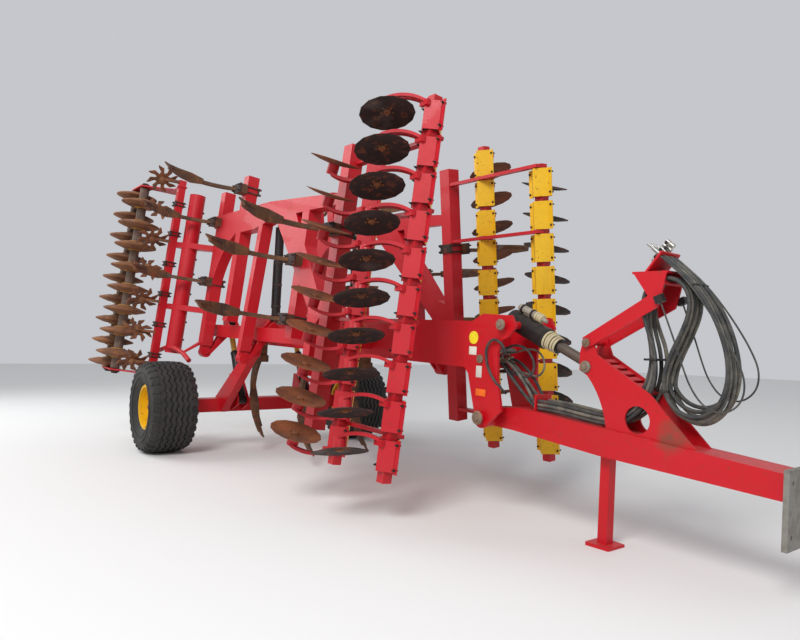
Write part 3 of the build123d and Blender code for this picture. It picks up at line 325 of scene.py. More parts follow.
def bar(size, place=(0, 0, 0), edge=0.002):
    # a flat or square bar with rolled edges
    clearPicks()
    bpy.ops.mesh.primitive_cube_add(size=1, location=(0, 0, 0), scale=size)
    piece = bpy.context.object
    bpy.ops.object.transform_apply(location=True, rotation=True, scale=True)
    rolled = piece.modifiers.new("rolled", "BEVEL")
    rolled.width = edge
    rolled.segments = 2
    bpy.ops.object.modifier_apply(modifier="rolled")
    piece.data.transform(Matrix.Translation(place))
    bpy.ops.object.shade_smooth_by_angle(angle=smoothAngle)
    return piece


def moved(piece, turn):
    piece.data.transform(turn)
    if turn.determinant() < 0:
        piece.data.flip_normals()
    piece.data.update()
    return piece


def joined(pieces):
    pickOnly(pieces)
    if len(pieces) > 1:
        bpy.ops.object.join()
    return bpy.context.object


def repeated(unit, turns):
    # the same piece at each place, every copy with a mesh of its own, then one object
    copies = []
    for turn in turns:
        twin = bpy.data.objects.new(unit.name, unit.data.copy())
        bpy.context.scene.collection.objects.link(twin)
        copies.append(moved(twin, turn))
    bpy.data.objects.remove(unit)
    return joined(copies)


def fitted(piece, name, slotName, body, look=None):
    piece.name = name
    piece.data.materials.clear()
    piece.data.materials.append(look or looks[slotName])
    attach(piece, body)
    return piece


def line(name, points, radius):
    # a bent pipe or hose along one smooth spline
    course = bpy.data.curves.new(name, "CURVE")
    course.dimensions = "3D"
    course.bevel_depth = radius
    course.bevel_resolution = 3
    course.resolution_u = 8
    course.use_fill_caps = True
    spline = course.splines.new("NURBS")
    spline.points.add(len(points) - 1)
    for spot, point in zip(spline.points, points):
        spot.co = (*(parkTurn @ Vector(point)), 1)
    spline.order_u = 3
    spline.use_endpoint_u = True
    piece = bpy.data.objects.new(name, course)
    bpy.context.scene.collection.objects.link(piece)
    return piece


def bolt(radius, height):
    # a hexagon head on its round washer
    head = turned([
        (radius * 0.97, height * 0.2), (radius * 1.15, height * 0.28), (radius * 1.15, height * 0.9),
        (radius, height),
    ], 6)
    washer = radius * 1.7
    base = turned([(washer, 0), (washer, height * 0.2), (washer * 0.94, height * 0.24)], 12)
    return joined([base, head])


# hoses: the route of part.py's tubes, in metres from the axle; the two stacks of three at the gate
# become one flat row of six, and each hose has its own slack in the hanging loop
hoseSettings = {
    "radius": 0.011, "pitch": 0.024, "channel": 0.05,
    # at which point of the route each change starts, and over how many points it goes
    "row": (6, 2), "unstack": (8, 2), "loop": (15, 14),
    "slack": [0.04, 0.018, 0.064, 0, 0.084, 0.026],
    "lengths": [3.540, 3.536, 3.416, 3.530, 3.420, 3.565],
    "route": [
        (4.010, 0.916), (4.150, 0.916), (4.290, 0.906), (4.430, 0.893), (4.570, 0.893), (4.690, 0.958),
        (4.775, 1.065), (4.814, 1.200), (4.806, 1.330), (4.752, 1.450), (4.722, 1.545), (4.725, 1.633),
        (4.772, 1.702), (4.853, 1.728), (4.934, 1.702), (4.984, 1.633), (4.990, 1.530), (4.950, 1.410),
        (4.895, 1.290), (4.860, 1.172), (4.868, 1.062), (4.950, 0.972), (5.065, 0.958), (5.160, 1.030),
        (5.200, 1.150), (5.194, 1.280), (5.158, 1.405), (5.105, 1.525), (5.035, 1.640), (4.938, 1.748),
        (4.828, 1.838),
    ],
}


def rise(step, start, steps):
    # from 0 to 1 over some steps of a route
    return min(1, max(0, (step - start) / steps))


def hosePoints(index):
    route = hoseSettings["route"]
    layer = min(index, 5 - index)
    channel = hoseSettings["channel"] * (-1 if index < 3 else 1)
    points = []
    for step, (x, z) in enumerate(route):
        before, after = route[max(step - 1, 0)], route[min(step + 1, len(route) - 1)]
        heading = atan2(after[1] - before[1], after[0] - before[0])
        spread = rise(step, *hoseSettings["row"])
        lift = hoseSettings["pitch"] * layer * (1 - rise(step, *hoseSettings["unstack"]))
        sag = hoseSettings["slack"][index] * sin(pi * rise(step, *hoseSettings["loop"]))
        y = channel * (1 - spread) + hoseSettings["pitch"] * (index - 2.5) * spread
        points.append((x - lift * sin(heading), y, z + lift * cos(heading) + sag))
    return points


def hoseLook(name, base, dusty, amount):
    # ribbed rubber hose, dusty along its length
    paint = Paint(name)
    cloud = paint.ramp(paint.noise(14, 4, 0.6), 0.4, 0.7)
    speck = paint.ramp(paint.noise(180, 3, 0.6), 0.5, 0.8)
    colour = paint.mix(cloud * amount, base, dusty)
    colour = paint.mix(speck * 0.2, colour, srgb("7E766A"))
    return paint.finish(Base_Color=colour, Roughness=0.62 + cloud * 0.2, Normal=paint.bump(speck, 0.2, 0.0005))


hoseLooks = [
    hoseLook("hoseBlack", srgb("2B2D2E"), srgb("6F6A61"), 0.5),
    hoseLook("hoseDusty", srgb("4B4A46"), srgb("8C8474"), 0.8),
]
for index in range(6):
    hose = line(f"hose{index + 1}", hosePoints(index), hoseSettings["radius"])
    fitted(hose, f"hose{index + 1}", "hose_rubber", "drawbar", hoseLooks[index % 2])
    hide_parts(f"hose_{index + 1}")
    tuple(parkTurn @ Vector(hosePoints(index)[0]))

# cables: the second one swells out of the first one's route
cableSettings = {
    "radius": 0.0045, "stretch": [0, 0.046], "lengths": [1.570, 1.673], "swellSteps": 13, "forward": 0.6,
    "route": [
        (4.8283, 0.084, 1.8378), (4.9116, 0.084, 1.7696), (5.000, 0.088, 1.684), (5.082, 0.094, 1.584),
        (5.158, 0.098, 1.476), (5.226, 0.100, 1.366), (5.276, 0.102, 1.254), (5.262, 0.104, 1.150),
        (5.182, 0.106, 1.086), (5.086, 0.108, 1.104), (5.016, 0.110, 1.186), (4.972, 0.111, 1.290),
        (4.934, 0.112, 1.398), (4.893, 0.112, 1.500), (4.859, 0.112, 1.586),
    ],
}
for index in range(2):
    points = []
    for step, (x, y, z) in enumerate(cableSettings["route"]):
        swell = cableSettings["stretch"][index] * sin(pi * max(0, step - 1) / cableSettings["swellSteps"])
        points.append((x + swell * cableSettings["forward"], y * (1 - 2 * index), z - swell))
    cable = line(f"cable{index + 1}", points, cableSettings["radius"])
    fitted(cable, f"cable{index + 1}", "hose_rubber", "drawbar", hoseLooks[0])
    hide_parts(f"cable_{index + 1}")
print("hoses and cables are hung")

# disc gangs: dished discs, their hub bolts, and the rubbers and bolts of the clamps
gangSettings = {
    # each row's place along the wing, its number of discs, and the way they lean
    "rows": {"left": [(3.414, 9, -1), (2.807, 10, 1)], "right": [(3.414, 10, 1), (2.807, 9, -1)]},
    "first": -0.465, "pitch": 0.25, "level": -0.037, "trail": 0.18, "drop": -0.248, "lean": 17, "flats": 14,
    "rim": 0.18, "bolts": (0.099, 0.078), "rubberOff": 0.0492,
}
discLean = radians(gangSettings["lean"])
discBase = Matrix.Translation((-gangSettings["trail"], 0, gangSettings["drop"])) @ Matrix((
    (cos(discLean), 0, -sin(discLean), 0),
    (sin(discLean), 0, cos(discLean), 0),
    (0, -1, 0, 0),
    (0, 0, 0, 1),
))


def discUnit():
    # a dished blade, its rim cut to short flats
    blade = turned([
        (0.012, -0.001), (0.055, -0.001), (0.120, -0.007), (0.189, -0.021), (0.190, -0.0185),
        (0.120, -0.002), (0.055, 0.006), (0.012, 0.006),
    ], 2 * gangSettings["flats"])
    step = pi / gangSettings["flats"]
    for vertex in blade.data.vertices:
        if hypot(vertex.co.x, vertex.co.y) > gangSettings["rim"]:
            off = atan2(vertex.co.y, vertex.co.x) % (2 * step) - step
            share = cos(step) / cos(off)
            vertex.co.x *= share
            vertex.co.y *= share
    return blade


def hubUnit():
    cap = turned([(0.026, -0.001), (0.026, -0.010), (0.018, -0.017)], 14)
    studs = repeated(turned([(0.008, -0.001), (0.008, -0.007), (0.005, -0.009)], 6), circle(5, 0.041))
    return joined([cap, studs])


def clampBoltUnit():
    head = turned([(0.0085, 0.0102), (0.0085, 0.0185), (0.006, 0.020)], 6)
    nut = turned([
        (0.005, 0.0018), (0.005, -0.004), (0.0095, -0.0045), (0.0095, -0.012), (0.005, -0.0125), (0.005, -0.026),
    ], 6)
    return joined([head, nut])


rustDisc = rustySteel("discBright", srgb("9A5A2E"), srgb("5C3A28"), 0.35)
darkDisc = rustySteel("discDark", srgb("2A2322"), srgb("171414"), 0.25)
for name, side in sides.items():
    wing = name + "_wing"
    spots = {1: [], -1: []}
    for x, count, lean in gangSettings["rows"][name]:
        for index in range(count):
            outboard = gangSettings["first"] + gangSettings["pitch"] * index
            spots[lean].append(wingTurn(side) @ at(x, outboard, gangSettings["level"]))
    frontLean = gangSettings["rows"][name][0][2]
    hubTurns = []
    for lean, look, row in ((frontLean, darkDisc, "Front"), (-frontLean, rustDisc, "Rear")):
        turns = [spot @ Matrix.Diagonal((1, lean, 1, 1)) @ discBase for spot in spots[lean]]
        fitted(repeated(discUnit(), turns), name + row + "Discs", "disc_steel", wing, look)
        hubTurns += turns
    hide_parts(name + "_discs")
    fitted(repeated(hubUnit(), hubTurns), name + "DiscHubs", "disc_steel", wing, rustDisc)
    allSpots = spots[1] + spots[-1]
    boltX, boltY = gangSettings["bolts"]
    bolts = [spot @ at(x, y, 0) for spot in allSpots for x in (-boltX, boltX) for y in (-boltY, boltY)]
    fitted(repeated(clampBoltUnit(), bolts), name + "ClampBolts", "black_paint", wing, darkDisc)
    rubber = turned([(0.009, -0.1005), (0.013, -0.0985), (0.013, 0.0985), (0.009, 0.1005)], 10)
    lying = at(0, 0, gangSettings["rubberOff"], 90, "X")
    rubbers = [spot @ at(0, 0, 0, turn, "Y") @ lying for spot in allSpots for turn in (0, 90, 180, 270)]
    fitted(repeated(rubber, rubbers), name + "ClampRubbers", "tyre_rubber", wing)
print("disc gangs are dressed")

# tyres: carcass, wavy ribs round the tread, slanted shoulder lugs, raised rings on the walls, and the nuts
wheelSettings = {
    "y": 1.165, "ribs": [-0.134, -0.081, -0.027, 0.027, 0.081, 0.134], "ribWidth": 0.036, "ribDepth": 0.024,
    "tread": 0.467, "crown": 0.33, "waves": 30, "sway": 0.011,
    "lug": (0.036, 0.046, 0.066), "lugRadius": 0.437, "lugOut": 0.190, "slant": 0.25, "taper": 0.024,
    "wallRings": [(0.2345, 0.352), (0.2275, 0.300), (0.2120, 0.268)], "wallRingRadius": 0.0045,
    "carcass": [
        (0.2170, 0.165), (0.262, 0.212), (0.328, 0.2345), (0.388, 0.228), (0.430, 0.204), (0.446, 0.165),
        (0.450, 0.080), (0.450, -0.080), (0.446, -0.165), (0.430, -0.204), (0.388, -0.228), (0.328, -0.2345),
        (0.262, -0.212), (0.2170, -0.165),
    ],
}


def ribUnit(offset):
    # one band round the tread, wavy from side to side
    clearPicks()
    bpy.ops.mesh.primitive_cylinder_add(
        vertices=4 * wheelSettings["waves"], radius=wheelSettings["tread"] - wheelSettings["crown"] * offset ** 2,
        depth=wheelSettings["ribWidth"], end_fill_type="NOTHING", location=(0, 0, offset),
    )
    rib = bpy.context.object
    bpy.ops.object.transform_apply(location=True, rotation=True, scale=True)
    for vertex in rib.data.vertices:
        vertex.co.z += wheelSettings["sway"] * sin(atan2(vertex.co.y, vertex.co.x) * wheelSettings["waves"])
    bpy.ops.object.mode_set(mode="EDIT")
    bpy.ops.mesh.select_all(action="SELECT")
    bpy.ops.mesh.normals_make_consistent(inside=False)
    bpy.ops.object.mode_set(mode="OBJECT")
    wall = rib.modifiers.new("wall", "SOLIDIFY")
    wall.thickness = wheelSettings["ribDepth"]
    wall.offset = -1
    bpy.ops.object.modifier_apply(modifier="wall")
    bpy.ops.object.shade_smooth_by_angle(angle=smoothAngle)
    return rib


def lugUnit():
    # a shoulder lug, slanted, and drawn in on the side of the wall
    lug = bar(wheelSettings["lug"], edge=0.006)
    for vertex in lug.data.vertices:
        vertex.co.y += wheelSettings["slant"] * vertex.co.z
        if vertex.co.z > 0:
            vertex.co.x -= wheelSettings["taper"]
    return lug


def wallRing(radius, z):
    clearPicks()
    bpy.ops.mesh.primitive_torus_add(
        major_radius=radius, minor_radius=wheelSettings["wallRingRadius"], major_segments=64, minor_segments=6,
        location=(0, 0, z),
    )
    raised = bpy.context.object
    bpy.ops.object.transform_apply(location=True, rotation=True, scale=True)
    bpy.ops.object.shade_smooth()
    return raised


for name, side in sides.items():
    wheel = name + "_wheel"
    hub = sideways(0, wheelSettings["y"], parkSettings["axleZ"], side)
    carcass = turned(wheelSettings["carcass"], 96, hollow=True)
    ribs = [ribUnit(offset) for offset in wheelSettings["ribs"]]
    lug = lugUnit()
    lugPlace = at(wheelSettings["lugRadius"], 0, wheelSettings["lugOut"])
    lugs = []
    for place in range(wheelSettings["waves"]):
        for shift, up in ((0.25, 1), (0.75, -1)):
            around = Matrix.Rotation(2 * pi * (place + shift) / wheelSettings["waves"], 4, "Z")
            lugs.append(around @ Matrix.Diagonal((1, 1, up, 1)) @ lugPlace)
    rings = [wallRing(radius, z * up) for z, radius in wheelSettings["wallRings"] for up in (1, -1)]
    tyre = joined([carcass, *ribs, repeated(lug, lugs), *rings])
    fitted(moved(tyre, hub), name + "Tyre", "tyre_rubber", wheel)
    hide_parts(name + "_tyre")
    nuts = repeated(bolt(0.012, 0.020), circle(10, 0.055, 0.110))
    cap = turned([(0.036, 0.109), (0.036, 0.135), (0.030, 0.148), (0.020, 0.152)], 24)
    rimRing = turned([
        (0.200, 0.176), (0.2075, 0.176), (0.2095, 0.1845), (0.2060, 0.1890), (0.2015, 0.1875), (0.200, 0.1845),
    ], 64, hollow=True)
    fitted(moved(joined([nuts, cap]), hub), name + "WheelNuts", "yellow_paint", wheel, rustDisc)
    fitted(moved(rimRing, hub), name + "RimRing", "yellow_paint", wheel)
print("wheels are dressed")

# near covers: yellow on their faces alone, red round the edges, as the photograph shows them edge on
facePaint = Paint("rightCoverPaint")
inwards = wingTurn(-1).to_3x3() @ Vector((0, 0, 1))
ownNormal = facePaint.node("ShaderNodeTexCoord", out="Normal")
turnedIn = facePaint.node(
    "ShaderNodeVectorMath", {"operation": "DOT_PRODUCT"}, out=1, i0=ownNormal, i1=tuple(inwards),
)
speck = facePaint.ramp(facePaint.noise(30, 5, 0.7), 0.6, 0.66)
coverColour = facePaint.mix(facePaint.ramp(turnedIn, 0.6, 0.7), colours["wingRed"], colours["yellow"])
facePaint.finish(
    Base_Color=facePaint.mix(speck * 0.6, coverColour, colours["rustBrown"]), Roughness=0.45 + speck * 0.3,
    Normal=facePaint.bump(facePaint.noise(160, 2) * 0.15 - speck * 0.6, 0.35, 0.0012),
)
covers = frame["nodes"]["right_clamp_covers"]
covers.data.materials.clear()
covers.data.materials.append(facePaint.material)

# rollers: fat saucer rings and their painted collars, pressed on a grey spacer tube
rollerSettings = {
    # each row's place along the wing, its first ring and its number of rings
    "rows": {"front": (-1.100, -0.145, 8), "rear": (-1.400, -0.270, 9)}, "pitch": 0.25, "level": -0.660,
    "inner": -0.325, "outer": 1.795,
    "ring": [
        (0.0515, -0.050), (0.070, -0.052), (0.082, -0.044), (0.130, -0.040), (0.176, -0.026), (0.218, -0.012),
        (0.228, -0.006), (0.228, 0.006), (0.218, 0.012), (0.176, 0.026), (0.130, 0.040), (0.082, 0.044),
        (0.070, 0.052), (0.0515, 0.050),
    ],
    "collar": [
        (0.051, -0.0545), (0.074, -0.0545), (0.078, -0.0515), (0.078, 0.0515), (0.074, 0.0545), (0.051, 0.0545),
    ],
}
ringLook = rustySteel("ringRust", srgb("A06C46"), srgb("6B452E"), 0.3)
collarLook = paintedSteel("collarPaint", srgb("B9872A"), srgb("8A5A30"), 1, 0.5, 0.6)
tubeLook = rustySteel("spacerTube", srgb("7D736A"), srgb("5C4638"), 0.7)
for name, side in sides.items():
    for row, (x, first, count) in rollerSettings["rows"].items():
        roller = f"{name}_{row}_roller"
        title = name + row.title()
        upright = wingTurn(side) @ at(x, 0, rollerSettings["level"], -90, "X")
        turns = [upright @ at(0, 0, first + rollerSettings["pitch"] * index) for index in range(count)]
        rings = repeated(turned(rollerSettings["ring"], 40, hollow=True), turns)
        fitted(rings, title + "Rings", "roller_rust", roller, ringLook)
        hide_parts(f"{name}_{row}_roller")
        collars = repeated(turned(rollerSettings["collar"], 28, hollow=True), turns)
        fitted(collars, title + "Collars", "yellow_paint", roller, collarLook)
        low, high = rollerSettings["inner"], rollerSettings["outer"]
        tube = turned([
            (0.020, low - 0.018), (0.020, low), (0.046, low + 0.001), (0.050, low + 0.005), (0.050, high - 0.005),
            (0.046, high - 0.001), (0.020, high), (0.020, high + 0.018),
        ], 28)
        fitted(moved(tube, upright), title + "Tube", "roller_rust", roller, tubeLook)
print("rollers are dressed")

# tines: strap clamps round the tubes, with four threaded rods each
tineSettings = {
    "tubes": [2.40, 1.85, 0.42, -0.17], "level": -0.06,
    # the number of each strap's tube, and how far outboard it is
    "places": [(0, 1.10), (1, 0.38), (1, 0.89), (2, 1.72), (3, 0.765), (3, 1.43)],
    "strap": {
        "plates": [((0.150, 0.080, 0.012), 0.1265), ((0.160, 0.100, 0.014), -0.0775)],
        "rod": [
            (0.008, -0.110), (0.008, -0.086), (0.014, -0.0858), (0.014, -0.074), (0.008, -0.0735), (0.008, 0.132),
            (0.014, 0.1328), (0.014, 0.144), (0.008, 0.146), (0.007, 0.156),
        ],
        "spread": (0.068, 0.028),
    },
}


def strapUnit(strap):
    # two plates across a tube, drawn together by four rods with their nuts
    plates = [bar(size, (0, 0, z)) for size, z in strap["plates"]]
    wide, deep = strap["spread"]
    rods = repeated(turned(strap["rod"], 6), [at(x, y, 0) for x in (-wide, wide) for y in (-deep, deep)])
    return joined([*plates, rods])


clampSteel = rustySteel("clampSteel", srgb("3E3431"), srgb("242020"), 0.35)
for name, side in sides.items():
    turns = [
        wingTurn(side) @ at(tineSettings["tubes"][row], outboard, tineSettings["level"])
        for row, outboard in tineSettings["places"]
    ]
    straps = repeated(strapUnit(tineSettings["strap"]), turns)
    fitted(straps, name + "TineStraps", "tine_steel", name + "_wing", clampSteel)
print("tines are strapped")

# roller bearings on the end plates, four bolts in each flange
bearingSettings = {"inner": -0.344, "outer": 1.814, "boltTurn": 0.78}
for name, side in sides.items():
    flange = turned([
        (0.058, 0), (0.058, 0.012), (0.050, 0.016), (0.038, 0.018), (0.036, 0.034), (0.030, 0.038),
    ], 20)
    studs = repeated(bolt(0.008, 0.012), circle(4, 0.047, 0.012, bearingSettings["boltTurn"]))
    turns = []
    for x, _, _ in rollerSettings["rows"].values():
        for end, turn in (("outer", -90), ("inner", 90)):
            turns.append(wingTurn(side) @ at(x, bearingSettings[end], rollerSettings["level"], turn, "X"))
    bearings = repeated(joined([flange, studs]), turns)
    fitted(bearings, name + "Bearings", "black_paint", name + "_wing", clampSteel)
print("roller bearings are on")

# round heads of the pins: where each pin is, how far out its heads stand, and their radius
pinSettings = {
    "frame": [(3.650, 0.815, 0.230, 0.046), (3.825, 1.440, 0.230, 0.036)],
    "drawbar": [(4.380, 1.210, 0.080, 0.036), (4.388, 1.352, 0.094, 0.026)],
}
pinLook = rustySteel("pinSteel", srgb("A08C7A"), srgb("75604F"), 0.8)
for body, pins in pinSettings.items():
    heads = []
    for x, z, y, radius in pins:
        for up in (1, -1):
            head = turned([
                (radius, 0), (radius, 0.010), (radius * 0.86, 0.015), (radius * 0.5, 0.0155),
                (radius * 0.45, 0.024), (radius * 0.3, 0.026),
            ], 24)
            heads.append(moved(head, sideways(x, y, z, up)))
    fitted(joined(heads), body + "PinHeads", "coupler_steel", body, pinLook)
print("pin heads are on")

# drawbar cylinder: cream seals at its mouth, rings at both ends, and the slim accumulator on its back
cylinderSettings = {
    "foot": (3.825, 0, 1.440), "head": (4.380, 0, 1.210), "slimFoot": (3.790, 0, 1.562),
    "seals": [(0.222, 0.062), (0.243, 0.058), (0.264, 0.060), (0.287, 0.057), (0.308, 0.055)],
    "slimSeals": [0.150, 0.172, 0.192], "slimBands": [0.02, 0.11],
}
cream = paintedSteel("creamPaint", srgb("C9BC96"), srgb("A99C7C"), 0.9, 0.56)
foot, head = Vector(cylinderSettings["foot"]), Vector(cylinderSettings["head"])
along = parkTurn @ Matrix.Translation(foot) @ facing(head - foot)
seals = []
for place, radius in cylinderSettings["seals"]:
    seals.append(turned([
        (radius - 0.005, place - 0.009), (radius, place - 0.004), (radius, place + 0.004),
        (radius - 0.005, place + 0.009),
    ], 28, hollow=True))
fitted(moved(joined(seals), along), "drawbarCylinderSeals", "yellow_paint", "drawbar_barrel", cream)
cap = turned([(0.0690, -0.118), (0.0705, -0.112), (0.0705, -0.098), (0.0690, -0.094)], 32, hollow=True)
mouthRing = turned([(0.0688, 0.185), (0.0710, 0.190), (0.0710, 0.210), (0.066, 0.2165)], 32, hollow=True)
fitted(moved(joined([cap, mouthRing]), along), "drawbarCylinderRings", "black_paint", "drawbar_barrel")
slimTurn = parkTurn @ at(*cylinderSettings["slimFoot"]) @ facing(head - foot)
slim = turned([
    (0.012, -0.020), (0.020, -0.016), (0.026, -0.004), (0.026, 0.190), (0.020, 0.196), (0.014, 0.200),
    (0.014, 0.235), (0.009, 0.238),
], 20)
slimGrey = plainMetal("slimGrey", srgb("A39C8E"), 0.3, 0.5, 0.4)
fitted(moved(slim, slimTurn), "slimCylinder", "coupler_steel", "drawbar_barrel", slimGrey)
slimSeals = [
    turned([(0.024, z - 0.009), (0.030, z - 0.005), (0.030, z + 0.005), (0.024, z + 0.009)], 20)
    for z in cylinderSettings["slimSeals"]
]
fitted(moved(joined(slimSeals), slimTurn), "slimSeals", "yellow_paint", "drawbar_barrel", cream)
bands = [
    turned([(0.0285, z - 0.008), (0.0310, z - 0.006), (0.0310, z + 0.006), (0.0285, z + 0.008)], 20)
    for z in cylinderSettings["slimBands"]
]
fitted(moved(joined(bands), slimTurn), "slimBands", "black_paint", "drawbar_barrel")
print("drawbar cylinder is dressed")

# headstock: bare plates, an amber reflector and a yellow spot on its two faces
headstockHalf = 0.2
plateSettings = {
    "whitePlate": ((0.072, 0.002, 0.056), (3.545, 1.257), "E2DDD2"),
    "smallPlate": ((0.054, 0.002, 0.078), (3.612, 1.119), "CFCBC2"),
    "amberReflector": ((0.090, 0.006, 0.046), (3.640, 0.981), "F06A10"),
}
for name, (size, (x, z), colour) in plateSettings.items():
    look = plainMetal(name + "Look", srgb(colour), 0, 0.45, 0.25)
    for hand, up in hands.items():
        if up == 1 and name == "smallPlate":
            continue
        plate = moved(bar(size, edge=0.0009), parkTurn @ at(x, up * (headstockHalf + size[1] / 2), z))
        fitted(plate, name + hand, "plate_steel", "frame", look)
spotLook = plainMetal("yellowSpotLook", srgb("F2D81E"), 0, 0.5, 0.3)
for hand, up in hands.items():
    spot = turned([(0.044, 0), (0.044, 0.003), (0.040, 0.004), (0.008, 0.0042), (0.007, 0.007)], 28)
    moved(spot, sideways(3.549, headstockHalf, 1.346, up))
    fitted(spot, "yellowSpot" + hand, "yellow_paint", "frame", spotLook)
print("headstock is dressed")

# rungs between the gussets along their front edge
rungSettings = {
    "start": (4.490, 1.262), "end": (4.760, 1.112), "count": 6, "size": (0.036, 0.135, 0.010), "drop": 0.012,
    "tilt": 29,
}
rungs = []
for index in range(rungSettings["count"]):
    share = index / (rungSettings["count"] - 1)
    x = rungSettings["start"][0] * (1 - share) + rungSettings["end"][0] * share
    z = rungSettings["start"][1] * (1 - share) + rungSettings["end"][1] * share
    spot = parkTurn @ at(x, 0, z - rungSettings["drop"], rungSettings["tilt"], "Y")
    rungs.append(moved(bar(rungSettings["size"]), spot))
fitted(joined(rungs), "gussetRungs", "frame_red", "drawbar")
print("drawbar is dressed")

# lift cylinders: cream sleeve on the upper part, black gland below it
liftSettings = {"foot": (0.190, 0.530), "head": (-0.230, 1.362), "y": 0.394}
for name, side in sides.items():
    ends = (liftSettings["foot"], liftSettings["head"])
    foot, head = (Vector((x, side * liftSettings["y"], z)) for x, z in ends)
    turn = parkTurn @ Matrix.Translation(foot) @ facing(head - foot)
    gland = turned([(0.030, 0.535), (0.0445, 0.540), (0.0445, 0.560), (0.038, 0.570), (0.030, 0.576)], 28)
    sleeve = turned([(0.0225, 0.572), (0.030, 0.575), (0.030, 0.850), (0.0265, 0.858), (0.0225, 0.860)], 28)
    sleeveLook = paintedSteel(name + "SleevePaint", srgb("D9B54C"), srgb("C9A45C"), 0.8)
    fitted(moved(gland, turn), name + "LiftGland", "black_paint", "frame")
    fitted(moved(sleeve, turn), name + "LiftSleeve", "yellow_paint", "frame", sleeveLook)
print("lift cylinders are dressed")

# short hoses inside the headstock: from the valve block to the gate, and the loops between their fittings;
# each has its radius, the number of its look, and the points of its route
shortHoses = {
    "gateHose1": (0.010, 0, [
        (3.600, -0.074, 1.200), (3.680, -0.074, 1.200), (3.770, -0.072, 1.110), (3.880, -0.062, 1.010),
        (3.940, -0.052, 0.950), (3.985, -0.050, 0.918),
    ]),
    "gateHose2": (0.010, 1, [
        (3.600, -0.045, 1.212), (3.690, -0.046, 1.214), (3.800, -0.050, 1.150), (3.900, -0.052, 1.056),
        (3.955, -0.050, 0.980), (3.985, -0.050, 0.944),
    ]),
    "gateHose3": (0.010, 0, [
        (3.600, -0.014, 1.196), (3.670, -0.016, 1.190), (3.760, -0.026, 1.090), (3.860, -0.040, 0.995),
        (3.930, -0.049, 0.966), (3.985, -0.050, 0.966),
    ]),
    "gateHose4": (0.010, 1, [
        (3.600, 0.016, 1.206), (3.680, 0.018, 1.206), (3.785, 0.028, 1.125), (3.885, 0.042, 1.020),
        (3.945, 0.050, 0.955), (3.985, 0.050, 0.920),
    ]),
    "gateHose5": (0.010, 0, [
        (3.600, 0.046, 1.212), (3.700, 0.048, 1.216), (3.806, 0.052, 1.160), (3.900, 0.054, 1.070),
        (3.958, 0.052, 0.985), (3.985, 0.050, 0.944),
    ]),
    "gateHose6": (0.010, 0, [
        (3.600, 0.074, 1.198), (3.670, 0.074, 1.196), (3.764, 0.068, 1.100), (3.860, 0.058, 1.000),
        (3.930, 0.052, 0.968), (3.985, 0.050, 0.966),
    ]),
}
loopHoses = {
    "outerLoop": (0.009, 0, [
        (3.600, -0.080, 1.232), (3.690, -0.105, 1.226), (3.790, -0.160, 1.232), (3.852, -0.205, 1.270),
        (3.826, -0.222, 1.325), (3.756, -0.224, 1.348), (3.698, -0.224, 1.300), (3.694, -0.224, 1.210),
        (3.740, -0.222, 1.110), (3.800, -0.190, 1.030), (3.800, -0.120, 0.985), (3.720, -0.080, 1.000),
        (3.640, -0.065, 1.065), (3.552, -0.060, 1.150),
    ]),
    "blackLoop": (0.008, 0, [
        (3.590, -0.030, 1.255), (3.640, -0.040, 1.258), (3.710, -0.050, 1.284), (3.800, -0.055, 1.315),
        (3.905, -0.055, 1.290), (3.974, -0.055, 1.200), (3.950, -0.052, 1.118), (3.866, -0.045, 1.100),
        (3.752, -0.035, 1.126), (3.640, -0.020, 1.122), (3.552, -0.016, 1.120),
    ]),
    "paleLoop": (0.007, 1, [
        (3.590, 0.040, 1.245), (3.640, 0.040, 1.246), (3.715, 0.040, 1.256), (3.810, 0.034, 1.285),
        (3.910, 0.028, 1.288), (3.978, 0.024, 1.236), (3.990, 0.022, 1.165), (3.940, 0.022, 1.108),
        (3.850, 0.028, 1.118), (3.740, 0.034, 1.136), (3.640, 0.040, 1.124), (3.552, 0.044, 1.112),
    ]),
}


def splineLength(piece):
    # the length of a bent line, measured with its thickness taken off for a moment
    thickness = piece.data.bevel_depth
    piece.data.bevel_depth = 0
    drawn = bpy.data.meshes.new_from_object(piece)
    piece.data.bevel_depth = thickness
    spots = [vertex.co.copy() for vertex in drawn.vertices]
    bpy.data.meshes.remove(drawn)
    return sum((after - before).length for before, after in zip(spots, spots[1:]))


for hoses, body in ((shortHoses, "drawbar"), (loopHoses, "frame")):
    for name, (radius, look, points) in hoses.items():
        hose = line(name, points, radius)
        length = round(splineLength(hose), 3)
        fitted(hose, name, "hose_rubber", body, hoseLooks[look])
ferrule = turned([
    (0.008, 0), (0.0135, 0.002), (0.0135, 0.022), (0.0155, 0.023), (0.0155, 0.036), (0.012, 0.038),
    (0.012, 0.052), (0.009, 0.053),
], 12)
fittingShare = 0.32
ferrules = []
for hoses in (shortHoses, loopHoses):
    for _, _, points in hoses.values():
        # a gate hose has a fitting at the valve block alone, a loop has one at each end
        for first, second in ((0, 1), (-1, -2)):
            if hoses is shortHoses and first == -1:
                continue
            start, after = Vector(points[first]), Vector(points[second])
            spot = Matrix.Translation(start.lerp(after, fittingShare))
            ferrules.append(parkTurn @ spot @ facing(after - start))
ferruleZinc = plainMetal("ferruleZinc", srgb("B3A68E"), 0.7, 0.4, 0.5)
fitted(repeated(ferrule, ferrules), "headstockFerrules", "coupler_steel", "frame", ferruleZinc)
valveSettings = {"x": 3.629, "z": 1.268, "first": -0.075, "pitch": 0.030, "count": 6}
valve = turned([
    (0.010, 0), (0.017, 0.001), (0.017, 0.026), (0.013, 0.030), (0.013, 0.046), (0.008, 0.050),
], 14)
valves = []
for index in range(valveSettings["count"]):
    y = valveSettings["first"] + valveSettings["pitch"] * index
    valves.append(parkTurn @ at(valveSettings["x"], y, valveSettings["z"], 90, "Y"))
